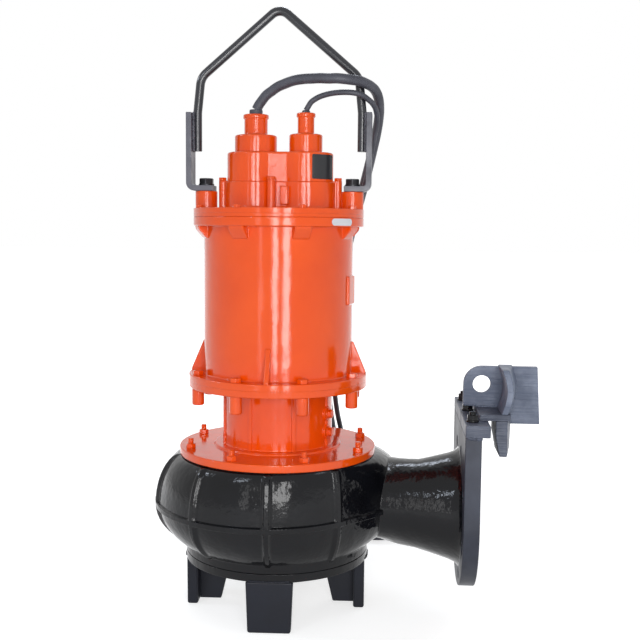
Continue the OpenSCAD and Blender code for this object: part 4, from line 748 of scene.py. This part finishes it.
def section(shrink, seam):
    """Half section of the scroll at its start: [radius, height, share of the growth, kind]. Kind 1
    rises with the upright ribs, and kind 0 and the seam, kind 2, don't."""
    low, high = LOW_Z + shrink * 1.2, HIGH_Z - shrink / 2
    low_r, high_r, full = 163 - shrink, 176 - shrink, START_R - shrink
    ribbed = int(seam)
    points = [[118, low, 0, 0], [low_r, low, 0, 0]]
    for i in range(1, 12):
        t = pi / 2 * i / 12
        share = sin(t) ** 1.6
        points.append([low_r + (full - low_r) * share, low + (MIDDLE_Z - low) * (1 - cos(t)),
                       share, ribbed])
    if seam:
        for z, out in ((-6, 0), (-4, RIB_HIGH), (4, RIB_HIGH), (6, 0)):
            points.append([full + out, MIDDLE_Z + z, 1, 2 if out else 1])
    for i in range(11, 0, -1):
        t = pi / 2 * i / 12
        share = sin(t) ** 1.2
        points.append([high_r + (full - high_r) * share,
                       high - (high - MIDDLE_Z) * (1 - cos(t)), share, ribbed])
    return points + [[high_r, high, 0, 0], [149, high, 0, 0]]


# %% Scroll shell
scroll_profile = section(0, True) + section(WALL, False)[::-1]
scroll = turned([(r, z) for r, z, _, _ in scroll_profile], steps=360)
rules = {}
for r, z, share, kind in scroll_profile:
    rules.setdefault(round(z * 50), []).append((r, share, kind))
for vert in scroll.verts:
    radius, key = hypot(vert.co.x, vert.co.y), round(vert.co.z * 50)
    known = rules.get(key) or rules.get(key + 1) or rules.get(key - 1)
    r, share, kind = min(known, key=lambda rule: abs(rule[0] - radius))
    angle = (TONGUE - degrees(atan2(vert.co.y, vert.co.x))) % 360
    grow = (scroll_radius(angle) - START_R) * share
    if kind == 1:
        grow += rib_rise(angle)
    scale = (r + grow) / radius
    vert.co.x, vert.co.y = vert.co.x * scale, vert.co.y * scale
print("scroll:", len(scroll.faces), "faces, widest", round(scroll_radius(FADE), 1), "mm")

# %% [markdown]
# ## Branch, elbow and flange
# The branch is an eccentric taper, so it is lofted from circles that grow and sink as they go
# out. An elbow carries the water from the end of the scroll into it. The flange is a thick plate
# with an arched lower half and a square top, and its eight bolt holes and bore are real holes.
# The passage through the scroll's wall is cut with a boolean, because two curved walls meet
# there.


# %% Branch and flange
UP, FLANGE_X, FLANGE_Z, FLANGE_R, BORE_R = Vector((0, 0, 1)), 334, 189, 142.5, 75


def ring_of(centre, radius, side, up, count):
    """A circle of points round a centre, in the plane of two directions."""
    turns = [2 * pi * k / count for k in range(count)]
    return [centre + radius * (cos(turn) * side + sin(turn) * up) for turn in turns]


def circle_at(centre, radius, ahead):
    """A circle of points round a centre, square to a direction in the XY plane."""
    side = Vector((-ahead[1], ahead[0], 0)).normalized()
    return ring_of(Vector(centre), radius, side, UP, 64)


def branch_circle(x, out=0):
    """Outside of the branch at x, which widens and sinks towards the flange."""
    share = max(0, x - 186) / (FLANGE_X - 186)
    return circle_at((x, 0, 193 - 4 * share), 66 + 36 * share ** 1.25 + out, (1, 0))


def passage_circle(x):
    """Inside of the branch at x."""
    share = min(1, (x - 150) / 150)
    return circle_at((x, 0, 193 - 4 * share), 52 + 22.5 * share, (1, 0))


branch_loops = [branch_circle(x) for x in (176, 186, 196, 210, 226, 242, 260, 280, 300, 316)]
branch_loops += [branch_circle(326, 1.2), branch_circle(331, 3.5), branch_circle(335, 7)]
branch_loops += [circle_at((335, 0, FLANGE_Z), BORE_R, (1, 0))]
branch_loops += [passage_circle(x) for x in (300, 250, 200, 180)]
branch = loft(branch_loops, ring=True)
start, leave = Vector((145.8, 113.9, 193)), Vector((0.616, -0.788, 0))
arrive, ahead = Vector((290, 0, 191)), Vector((1, 0, 0))
a, b, c, d = start, start + leave * 70, arrive - ahead * 85, arrive
elbow_loops, elbow_bore = [], []
for t in [i / 8 for i in range(9)]:
    middle = a * (1 - t) ** 3 + b * 3 * t * (1 - t) ** 2 + c * 3 * t * t * (1 - t) + d * t ** 3
    heading = (b - a) * (1 - t) ** 2 + (c - b) * 2 * t * (1 - t) + (d - c) * t * t
    elbow_loops.append(circle_at(middle, 68 + 15 * t, heading))
    elbow_bore.append(circle_at(middle, 56 + 12 * t, heading))
elbow = loft(elbow_loops + elbow_bore[::-1], ring=True)

flange_outline = rim(FLANGE_R, range(180, 361, 3)) + [(FLANGE_R, 157), (-FLANGE_R, 157)]
bolt_circle = [(x, y, 11) for x, y in rim(120, [22.5 + 45 * i for i in range(8)])]
bore_outline = rim(BORE_R, [360 * k / 96 for k in range(96)])
flange = soften(plate(flange_outline, 28, bolt_circle, [bore_outline]), 1.5, 2)
print("branch:", len(branch.faces), "flange:", len(flange.faces), "faces")


# %% Cutting the passage
def cut(shape, cutter):
    """The shape less the cutter, both as meshes, by an exact boolean."""
    pair = []
    for name, part in (("blank", shape), ("cutter", cutter)):
        mesh = bpy.data.meshes.new(name)
        part.to_mesh(mesh)
        part.free()
        pair.append(bpy.data.objects.new(name, mesh))
        scene.collection.objects.link(pair[-1])
    tool = pair[0].modifiers.new("cut", "BOOLEAN")
    tool.operation, tool.object, tool.solver = "DIFFERENCE", pair[1], "EXACT"
    seen = pair[0].evaluated_get(bpy.context.evaluated_depsgraph_get())
    made = bmesh.new()
    made.from_mesh(seen.to_mesh())
    for spare in pair:
        bpy.data.objects.remove(spare)
    return made


passage = loft([passage_circle(x) for x in (150, 200, 250, 300)])
casing = bmesh.new()
put(casing, cut(scroll, passage))
put(casing, elbow)
put(casing, soften(turned([(118, 106), (168, 106), (168, 129), (118, 129)], 144), 2, 2))
put(casing, soften(turned([(150, 262), (176.5, 262), (176.5, 284.7), (150, 284.7)], 144), 1.5, 2))
put(casing, branch)
put(casing, flange, moved(FLANGE_X, 0, FLANGE_Z) @ ALONG_X)
print("casing:", len(casing.faces), "faces")
casing = piece("scroll_casing", casing, "black_paint", ["volute_casing"], sharp=50)
# The flange's faces take the lighter grey: painted reflection on the black paint.
repaint(casing, "flange_painted_reflection", lambda spot: spot.x > 0.3335)

# %% [markdown]
# ## Ledge and guide claw
# A thick ledge is bolted and welded on top of the flange. The guide claw hangs over its edge and
# grips the pedestal in the sump, so the pump can be lowered and lifted without a fitter. Its
# upright plate has an eye and an arm, with a curved shoe and a tapered lug in front. Each one is
# an outline that is extruded or lofted, and the welds are beads again.


# %% Ledge and claw
def between(front, back, y0, y1):
    """A shape between an outline in XZ at one depth and another at a second depth."""
    return loft([[(x, y0, z) for x, z in front], [(x, y1, z) for x, z in back]])


ledge = bmesh.new()
put(ledge, soften(block((334, 376), (-146, 146), (346.2, 367)), 1.6, 2))
put(ledge, bead((337, -136, 346.5), (337, 136, 346.5), 3, 31))
put(ledge, bead((340, -143.5, 345), (359, -143.5, 345), 4.2, 32))
# The ledge takes the darker copy of the claw's paint: painted shade.
piece("flange_ledge", ledge, "blue_grey_paint", ["claw_ledge"], paint="ledge_painted_shade")

claw = bmesh.new()
put(claw, soften(block((361, 414), (-100, 20), (367, 378)), 1.2, 2))
ear = [(338, 380), (361, 378), (414, 378), (414, 348), (475, 348), (469, 451.5), (370.5, 451.5)]
ear += rim(32.5, range(96, 181, 6), 370.5, 419)
eye_plate = plate(ear, 12, [(370.5, 419, 16)])
put(claw, soften(eye_plate, 1.0, 2), moved(0, -10) @ UPRIGHT)
lug_front = [(389, 367), (409, 367), (409, 304.5), (396, 304.5), (389, 341)]
lug_back = [(389, 367), (424, 367), (422, 304.5), (396, 304.5), (389, 341)]
put(claw, soften(between(lug_front, lug_back, -100, -22), 1.6, 2))


def shoe_outline(thick):
    left = [(398 + 9 * sin(pi * s / 12), 378 + 77.5 * s / 12) for s in range(13)]
    return left + [(x + thick, z) for x, z in reversed(left)]


put(claw, soften(between(shoe_outline(11), shoe_outline(25), -100, -22), 1.6, 2, angle=40))
put(claw, bead((366, -23.5, 379), (412, -23.5, 379), 2.2, 33))
put(claw, bead((340, -23, 381), (360, -23, 381), 1.8, 34))
put(claw, bead((424, -23.5, 382), (424, -23.5, 448), 2.2, 35))
claw = piece("guide_claw_casting", claw, "blue_grey_paint", ["guide_claw"], paint="claw_paint")
# The claw's faces low down and in front of its plate take the darker copy of its paint: painted
# shade.
repaint(claw, "ledge_painted_shade", lambda spot: spot.z < 0.3785 and spot.y < -0.023)

claw_nuts, spots = bmesh.new(), [moved(348, y, 367) for y in (-108, 0, 108)]
put(claw_nuts, soften(turned([(6.2, 0), (11, 0), (11, 3), (6.2, 3)], 40), 0.4), *spots)
put(claw_nuts, hexagon(18, 9.5, 1.1), *[spot @ moved(0, 0, 3) for spot in spots])
put(claw_nuts, threaded(6, -53, 18, 1.75, 0.5), *spots)
piece("claw_studs_and_nuts", claw_nuts, "dark_steel", ["claw_bolts"], paint="black_paint")

# %% [markdown]
# ## Oil housing
# Between the pump and the motor stands the oil housing, with its ribbed neck. The ribs and the
# eight blind bosses under the upper flange are cast on. The cover plate is held down by eight
# studs, which were painted together with it, so their threads are filled.


# %% Oil housing
FRAME_BOLT_R, STUD_R, COVER_BOLT_R, FIRST_BOLT = 149.4, 163, 146, 22.5   # circles of eight
COVER_PLATE_TOP, LOWER_FLANGE_TOP, TOP_COVER_FLANGE = 299, 432, 729
oil_housing = bmesh.new()
put(oil_housing, soften(turned(
    [(30, 262), (149.9, 262), (149.9, 285), (180, 285), (180, 299), (116, 299), (116, 303),
     (100, 303), (100, 402), (106, 408), (163, 408), (163, 420), (86, 420), (86, 303), (36, 303),
     (36, 288), (30, 288)], 144), 2, 3,
    where=lambda p: hypot(p.x, p.y) > 98 and p.z < 419))
put(oil_housing, soften(rod(11, 377, 409, 32), 3, 3, where=lambda p: p.z < 380),
    *around(8, FRAME_BOLT_R, FIRST_BOLT))
put(oil_housing, soften(block((-2, 5), (-4, 4), (301, 406)), 1.5, 2), *around(8, 98, FIRST_BOLT))
PLUG_TURN, PLUG_HEIGHTS = -23, (330, 363)
plug_spots = [turned_by(PLUG_TURN) @ moved(96, 0, z) @ ALONG_X for z in PLUG_HEIGHTS]
put(oil_housing, soften(rod(13, 0, 8), 1.2, 2, where=lambda p: p.z > 7), *plug_spots)
piece("oil_housing_casting", oil_housing, "orange_paint", ["oil_housing"])

cover_nuts = bmesh.new()
stud_spots = [spot @ moved(0, 0, COVER_PLATE_TOP) for spot in around(8, STUD_R, FIRST_BOLT)]
put(cover_nuts, hexagon(16, 8.4, 1.2), *stud_spots)
put(cover_nuts, threaded(5, -39, 18, 1.5, 0.3), *stud_spots)
piece("cover_plate_studs", cover_nuts, "orange_paint", ["cover_studs"])

plugs = bmesh.new()
put(plugs, soften(rod(10, 8, 10), 0.5), *plug_spots)
put(plugs, hexagon(14, 6, 0.9), *[spot @ moved(0, 0, 10) for spot in plug_spots])
put(plugs, rod(7, -6, 8), *plug_spots)
piece("oil_plug_pair", plugs, "orange_paint", ["oil_plugs"])

# %% [markdown]
# ## Motor frame
# The barrel is a turned body with a flange at each end. Four gussets stiffen the lower flange,
# and eight lugs under the upper flange take the screws of the top cover. Both are flat plates,
# extruded from their outlines and set round the barrel.


# %% Motor frame
BARREL_R = 135
motor = bmesh.new()
put(motor, soften(turned(
    [(126, 420), (163, 420), (163, LOWER_FLANGE_TOP), (BARREL_R, LOWER_FLANGE_TOP),
     (BARREL_R, 698), (154, 698), (154, 714), (126, 714)], 144), 1.8, 3,
    where=lambda p: hypot(p.x, p.y) > 130 and p.z > 421))
lug = plate([(-6, 0), (17, 0), (15, -7.3), (2, -22), (-6, -22)], 30)
put(motor, soften(lug, 2, 3), *[spot @ moved(0, 15, 698.5) @ UPRIGHT
                                for spot in around(8, BARREL_R, FIRST_BOLT)])
gusset = plate([(-6, -1), (26, -1), (26, 4), (3, 58), (-6, 58)], 9)
put(motor, soften(gusset, 2, 3), *[spot @ moved(0, 4.5, LOWER_FLANGE_TOP) @ UPRIGHT
                                   for spot in around(4, BARREL_R, -1)])
put(motor, soften(block((129, 137.6), (-23, 23), (559, 611)), 3, 3), turned_by(-10))
piece("motor_frame_casting", motor, "orange_paint", ["motor_frame"])

frame_heads = bmesh.new()
bolt_spots = [spot @ moved(0, 0, LOWER_FLANGE_TOP)
              for spot in around(8, FRAME_BOLT_R, FIRST_BOLT)]
put(frame_heads, hexagon(18, 7.5, 1.1), *bolt_spots)
put(frame_heads, rod(6, -38, 1, 20), *bolt_spots)
piece("frame_bolt_heads", frame_heads, "orange_paint", ["frame_bolts"])

# %% [markdown]
# ## Top cover and terminal box
# The top cover and the terminal box share one plan: two round lobes joined by a flat middle. One
# function gives the plan at any size, always with the same number of points, so that a wall is a
# loft through plans of different sizes and an edge is rounded by a few plans close together.


# %% The plan of the box
BOX_RIGHT, BOX_LEFT, LOBE_R, BOX_FLAT = 48, -44, 50, 41
COLUMNS = [(-103, 0), (107, 0), (-8, 54), (-8, -54)]


def box_plan(grow, fillet=6):
    """The outline of two lobes and a flat middle, grown outwards all round."""
    lobe, flat = LOBE_R + grow, BOX_FLAT + grow
    reach = sqrt((lobe + fillet) ** 2 - (flat + fillet) ** 2)
    touch = pi - acos(reach / (lobe + fillet))
    quarter = [(lobe * cos(touch * k / 20), lobe * sin(touch * k / 20)) for k in range(21)]
    for k in range(1, 6):
        a = touch + pi + (3 * pi / 2 - touch - pi) * k / 5
        quarter.append((-reach + fillet * cos(a), flat + fillet + fillet * sin(a)))
    right = [(BOX_RIGHT + x, y) for x, y in quarter]
    left = [(BOX_LEFT - x, y) for x, y in reversed(quarter)]
    return right + left + [(x, -y) for x, y in left[-2::-1]] + [(x, -y) for x, y in right[:0:-1]]


def wall_of(steps, capped=False):
    """A wall through box plans, given as (grow, height)."""
    return loft([[(x, y, z) for x, y in box_plan(grow)] for grow, z in steps], capped=capped,
                ring=not capped)


def stadium(start, end, radius):
    """An outline round two points."""
    heading = degrees(atan2(end[1] - start[1], end[0] - start[0]))
    return [point for (x, y), first in ((end, -90), (start, 90))
            for point in rim(radius, [heading + first + 15 * k for k in range(13)], x, y)]


print("plan points:", len(box_plan(0)))

# %% Top cover
cover = bmesh.new()
disc = rim(154, [2.5 * k for k in range(144)])
put(cover, soften(plate(disc, 9, hole_outlines=[box_plan(-7)]), 1.4, 2, angle=40), moved(0, 0, 720))
put(cover, wall_of([(-7, 728.5), (9, 728.5), (6, 730), (4.6, 732), (4, 735), (4, 775.6), (3, 777),
                    (-4, 777), (-4, 769), (-7, 769)]))
boss = soften(rod(20, 728, 761, 48), 1.5, 3, where=lambda p: p.z > 760)
put(cover, boss, moved(133), moved(-133))
for x, y in COLUMNS:
    put(cover, rod(7, 728, 777, 32), moved(x, y))
    put(cover, plate(stadium((x, y), (0.86 * x, 0.75 * y), 7), 48), moved(0, 0, 729))
for side in (1, -1):
    pad = soften(block((7, 22), (45, 55), (736, 769)), 2.5, 3)
    put(cover, pad, Matrix.Diagonal((1, side, 1, 1)))
bmesh.ops.recalc_face_normals(cover, faces=cover.faces)
piece("top_cover_casting", cover, "orange_paint", ["top_cover"])

cover_heads = bmesh.new()
head_spots = [spot @ moved(0, 0, TOP_COVER_FLANGE)
              for spot in around(8, COVER_BOLT_R, FIRST_BOLT)]
put(cover_heads, hexagon(13, 5.5, 0.9), *head_spots)
piece("top_cover_bolt_heads", cover_heads, "orange_paint", ["top_cover_bolts"])

# %% Terminal box
box = bmesh.new()
put(box, wall_of([(-7, 822), (-7, 777), (-0.6, 777), (0, 777.6), (0, 826), (-0.6, 828.2),
                  (-2, 829.5), (-4, 830)], capped=True))
for x, y in COLUMNS:
    ear = plate(stadium((x, y), (0.9 * x, 0.8 * y), 7), 3)
    put(box, soften(ear, 0.8, 2, where=lambda p: p.z > 2), moved(0, 0, 777))
piece("terminal_box_casting", box, "orange_paint", ["terminal_box"])

box_screws = bmesh.new()
put(box_screws, hexagon(13, 5.5, 0.9), *[moved(x, y, 780) for x, y in COLUMNS])
piece("terminal_box_screw_heads", box_screws, "orange_paint", ["terminal_box_screws"])

# %% [markdown]
# ## Glands and grommets
# Each cable enters through a turned gland with a thick foot and a beaded rim, and a rubber
# grommet that swells out of the rim holds the cable. A gland's outline has only a few numbers, so
# one function writes it for both.


# %% Glands
def gland(bore, spigot, base, base_high, tube, top):
    """Half outline of a gland that stands on z = 0."""
    return [(bore, -8), (spigot, -8), (spigot, 0), (base - 0.8, 0), (base, 0.8),
            (base, base_high - 3), (base - 0.9, base_high - 0.9), (base - 3, base_high),
            (tube + 3, base_high), (tube + 0.9, base_high + 0.9), (tube, base_high + 3),
            (tube, top - 9), (tube + 0.6, top - 8.2), (tube + 2, top - 7), (tube + 2, top - 2),
            (tube + 1.4, top - 0.6), (tube, top), (bore, top)]


for name, x, sizes, collar in (
        ("power", -42.5, (12.1, 25.9, 38, 31, 21, 68),
         [(0, 858), (10, 858), (12, 864), (12, 905), (11.4, 906.6), (10, 907), (0, 907)]),
        ("control", 48, (8.1, 19.9, 30, 33, 15, 71),
         [(0, 861), (6, 861), (8, 865), (8, 901), (7.4, 904), (6, 906), (0, 906)])):
    body = bmesh.new()
    put(body, turned(gland(*sizes), 72), moved(x, 0, 830))
    piece(name + "_gland_turned", body, "orange_paint", [name + "_gland"], sharp=50)
    sleeve = bmesh.new()
    put(sleeve, turned(collar, 48, closed=False), moved(x))
    piece(name + "_gland_rubber", sleeve, "cable_rubber", [name + "_grommet"])

# %% [markdown]
# ## Lifting gear
# Two bent brackets are bolted to the top cover, and the lifting bar is welded inside them. The
# bar is one swept round section, so its bends are true arcs, and the long welds are beads.


# %% Brackets and bar
def arc(x, z, radius, first, last):
    """Nine points of an arc between two angles."""
    return rim(radius, [first + (last - first) * k / 8 for k in range(9)], x, z)


def filleted(points, radii):
    """The points of a line with an arc at each inner corner."""
    made = [Vector(points[0])]
    for before, corner, after, r in zip(points, points[1:], points[2:], radii):
        corner = Vector(corner)
        back, on = (Vector(before) - corner).normalized(), (Vector(after) - corner).normalized()
        half = back.angle(on) / 2
        centre = corner + (back + on).normalized() * r / sin(half)
        first, last = corner + back * r / tan(half), corner + on * r / tan(half)
        steps = max(2, round(degrees(pi - 2 * half) / 6))
        for k in range(steps + 1):
            spoke = (first - centre).normalized().slerp((last - centre).normalized(), k / steps)
            made.append(centre + spoke.normalized() * r)
    return made + [Vector(points[-1])]


def swept(line, radius):
    """A round bar along a line in the XZ plane, with broken end edges."""
    loops, across = [], Vector((0, 1, 0))
    for i, point in enumerate(line):
        heading = (line[min(i + 1, len(line) - 1)] - line[max(i - 1, 0)]).normalized()
        loops.append(ring_of(point, radius, heading.cross(across), across, 24))
    return soften(loft(loops), 1.2, 2, angle=60)


brackets = bmesh.new()
profile = [(118, 761)] + arc(152, 776, 15, -90, 0) + [(167, 901), (157, 901)]
profile += arc(152, 776, 5, 0, -90) + [(118, 771)]
bracket = soften(plate(profile, 40), 1.0, 2, angle=40)
put(brackets, bracket, moved(0, 20) @ UPRIGHT, turned_by(180) @ moved(0, 20) @ UPRIGHT)
for side in (0, 180):
    for y in (-1, 1):
        put(brackets, bead((155.2, 6.8 * y, 834), (155.2, 6.8 * y, 900), 2.6, 40 + y + side, 1),
            turned_by(side))
piece("lifting_brackets", brackets, "bracket_steel", ["lift_brackets"])

corners = [(149, 0, 832), (149, 0, 901), (142.5, 0, 964), (0, 0, 1087), (-142.5, 0, 964),
           (-149, 0, 901), (-149, 0, 832)]
bar = bmesh.new()
put(bar, swept(filleted(corners, [40, 32, 22, 32, 40]), 8))
piece("lifting_bar", bar, "black_bar_paint", ["lift_bar"])

lift_heads = bmesh.new()
heads = [moved(133, 0, 771), moved(-133, 0, 771)]
put(lift_heads, soften(turned([(8.6, 0), (14, 0), (14, 3), (8.6, 3)], 48), 0.4), *heads)
put(lift_heads, hexagon(24, 10, 1.5), *[spot @ moved(0, 0, 3) for spot in heads])
put(lift_heads, rod(8, -30, 3, 24), *heads)
piece("lifting_bolts", lift_heads, "dark_steel", ["lift_bolts"])

# %% [markdown]
# ## Nameplate and tag
# Both are thin plates bent round a casting, left blank. A bent plate is a loft of short upright
# sections, and its rounded corners come from the height of the first and last few sections.


# %% Bent plates
def bent_plate(radius, thick, low, high, first, last, corner, count=40):
    """A plate bent round Z between two angles in degrees."""
    loops, length = [], radius * radians(last - first)
    for i in range(count + 1):
        u = length * (1 - cos(pi * i / count)) / 2
        off = max(0, corner - min(u, length - u))
        drop = corner - sqrt(max(0, corner ** 2 - off ** 2))
        drop = min(drop, (high - low) / 2 - 0.3)
        a = radians(first) + u / radius
        loops.append([(r * cos(a), r * sin(a), z) for r, z in (
            (radius, low + drop), (radius + thick, low + drop), (radius + thick, high - drop),
            (radius, high - drop))])
    return loft(loops)


label = bmesh.new()
put(label, bent_plate(50.1, 1, 782, 825, -72, -16, 2.5), moved(48))
for angle in (-69, -19):
    for z in (785.5, 821.5):
        rivet = soften(rod(1.6, 0, 1.8, 16), 0.7, 3, where=lambda p: p.z > 1)
        put(label, rivet, moved(48) @ turned_by(angle) @ moved(50.2, 0, z) @ ALONG_X)
piece("blank_nameplate", label, "black_plate", ["nameplate"])
tag = bmesh.new()
put(tag, bent_plate(154.1, 1, 700, 712, -48, -29, 6))
piece("blank_flange_tag", tag, "silver_tag", ["flange_tag"])

# %% [markdown]
# ## Finishes of the carried-over solids
# The suction cover, the upper bracket and everything inside keep their solids, because their
# shapes are right already. Each one takes the finish that its record names.


# %% Carried-over solids
for row in frame["record"]["subparts"]:
    places = frame["nodes"][row["node"]].data.materials
    paint = FINISHES[row["material_slot"]]
    for place in range(len(places)):
        places[place] = paint
    if not places:
        places.append(paint)

# %% [markdown]
# ## Floor, room light and reflections
# The floor and the sky are white to the camera and in reflections, so gloss paint shows the white
# room as it would in a studio. Two tall strip lights in front draw the bright lines on the
# barrel, small high windows give the cool glints on the casing, and large soft lights fill from
# the sides.


# %% Stage
def background_rays(tree):
    """1 for rays that should see the white background, and 0 for others."""
    rays = tree.nodes.new("ShaderNodeLightPath")
    total = rays.outputs["Is Camera Ray"]
    for kind in ("Is Glossy Ray", "Is Transmission Ray"):
        more = tree.nodes.new("ShaderNodeMath")
        more.operation, more.use_clamp = "ADD", True
        tree.links.new(total, more.inputs[0])
        tree.links.new(rays.outputs[kind], more.inputs[1])
        total = more.outputs["Value"]
    return total


def white_floor():
    """A matt floor that adds its own white for the camera, faintly near the pump and fully far off,
    so that the pump's shadow shows and the horizon doesn't."""
    made = bpy.data.materials.new("pale_floor")
    made.use_nodes = True
    tree = made.node_tree
    shader = tree.nodes["Principled BSDF"]
    for label, value in (("Base Color", (0.6, 0.6, 0.6, 1)), ("Roughness", 0.9),
                         ("Specular IOR Level", 0.1), ("Emission Color", (1, 1, 1, 1))):
        shader.inputs[label].default_value = value
    where, reach = add(tree, "TexCoord"), add(tree, "VectorMath")
    reach.operation = "LENGTH"
    fade = add(tree, "MapRange", From_Min=0.6, From_Max=2.2, To_Min=0.66, To_Max=1)
    product = add(tree, "Math")
    product.operation = "MULTIPLY"
    wire(tree, (where, "Object", reach, 0), (reach, "Value", fade, "Value"),
         (fade, "Result", product, 1), (product, "Value", shader, "Emission Strength"))
    tree.links.new(background_rays(tree), product.inputs[0])
    return made


floor_shape, floor_mesh = bmesh.new(), bpy.data.meshes.new("floor")
bmesh.ops.create_grid(floor_shape, x_segments=1, y_segments=1, size=30)
floor_shape.to_mesh(floor_mesh)
floor_shape.free()
floor_mesh.materials.append(white_floor())
floor = bpy.data.objects.new("floor", floor_mesh)
scene.collection.objects.link(floor)
print("floor:", floor.name)

# %% World and lights
world = bpy.data.worlds.new("room")
scene.world = world
world.use_nodes = True
sky = world.node_tree.nodes["Background"]
sky.inputs["Color"].default_value = (1, 1, 1, 1)
level = add(world.node_tree, "MapRange", To_Min=0.26, To_Max=1)
world.node_tree.links.new(background_rays(world.node_tree), level.inputs["Value"])
world.node_tree.links.new(level.outputs["Result"], sky.inputs["Strength"])


def area_light(name, azimuth, distance, height, size, radiance, fill=False, high=False):
    """A rectangular light. Azimuth is seen from above, from the front (-Y) towards +X. A fill
    faces the middle of the pump and leaves no reflection, as a very large and dim source would. A
    high light is cool and faces the middle too."""
    lamp = bpy.data.lights.new(name, "AREA")
    lamp.shape = "RECTANGLE"
    lamp.size, lamp.size_y = size
    lamp.energy = radiance * pi * size[0] * size[1]
    lamp.color = (0.8, 0.88, 1) if high else (1, 1, 1)
    made = bpy.data.objects.new(name, lamp)
    made.location = (distance * sin(radians(azimuth)), -distance * cos(radians(azimuth)), height)
    ahead = Vector((0, 0, 0.5 if fill or high else height)) - made.location
    made.rotation_euler = ahead.to_track_quat("-Z", "Y").to_euler()
    made.visible_glossy = not fill
    scene.collection.objects.link(made)


area_light("left_strip", 1.6, 2.2, 0.69, (0.28, 1.1), 13)
area_light("right_strip", 17.5, 2.2, 0.69, (0.38, 1.1), 13)
area_light("faint_strip", -20, 2.2, 0.69, (0.16, 1.1), 2.5)
area_light("box_light", -6.3, 2.2, 0.945, (0.11, 0.2), 14)
area_light("left_window", -88, 2.2, 1.9, (0.5, 0.35), 18, high=True)
area_light("front_window", -32, 2.3, 1.8, (0.4, 0.25), 18, high=True)
area_light("right_window", 62, 2.2, 1.9, (0.35, 0.35), 6, high=True)
area_light("ridge_window", 180, 2.0, 2.5, (1.0, 0.35), 10, high=True)
area_light("left_fill", -42, 3.0, 1.2, (2.4, 2.2), 0.5, fill=True)
area_light("right_fill", 72, 3.0, 1.2, (2.2, 2.2), 0.8, fill=True)
area_light("back_left_fill", 215, 3.0, 1.6, (2.4, 2.2), 2.0, fill=True)
area_light("back_right_fill", 140, 3.0, 1.6, (2.4, 2.2), 2.0, fill=True)
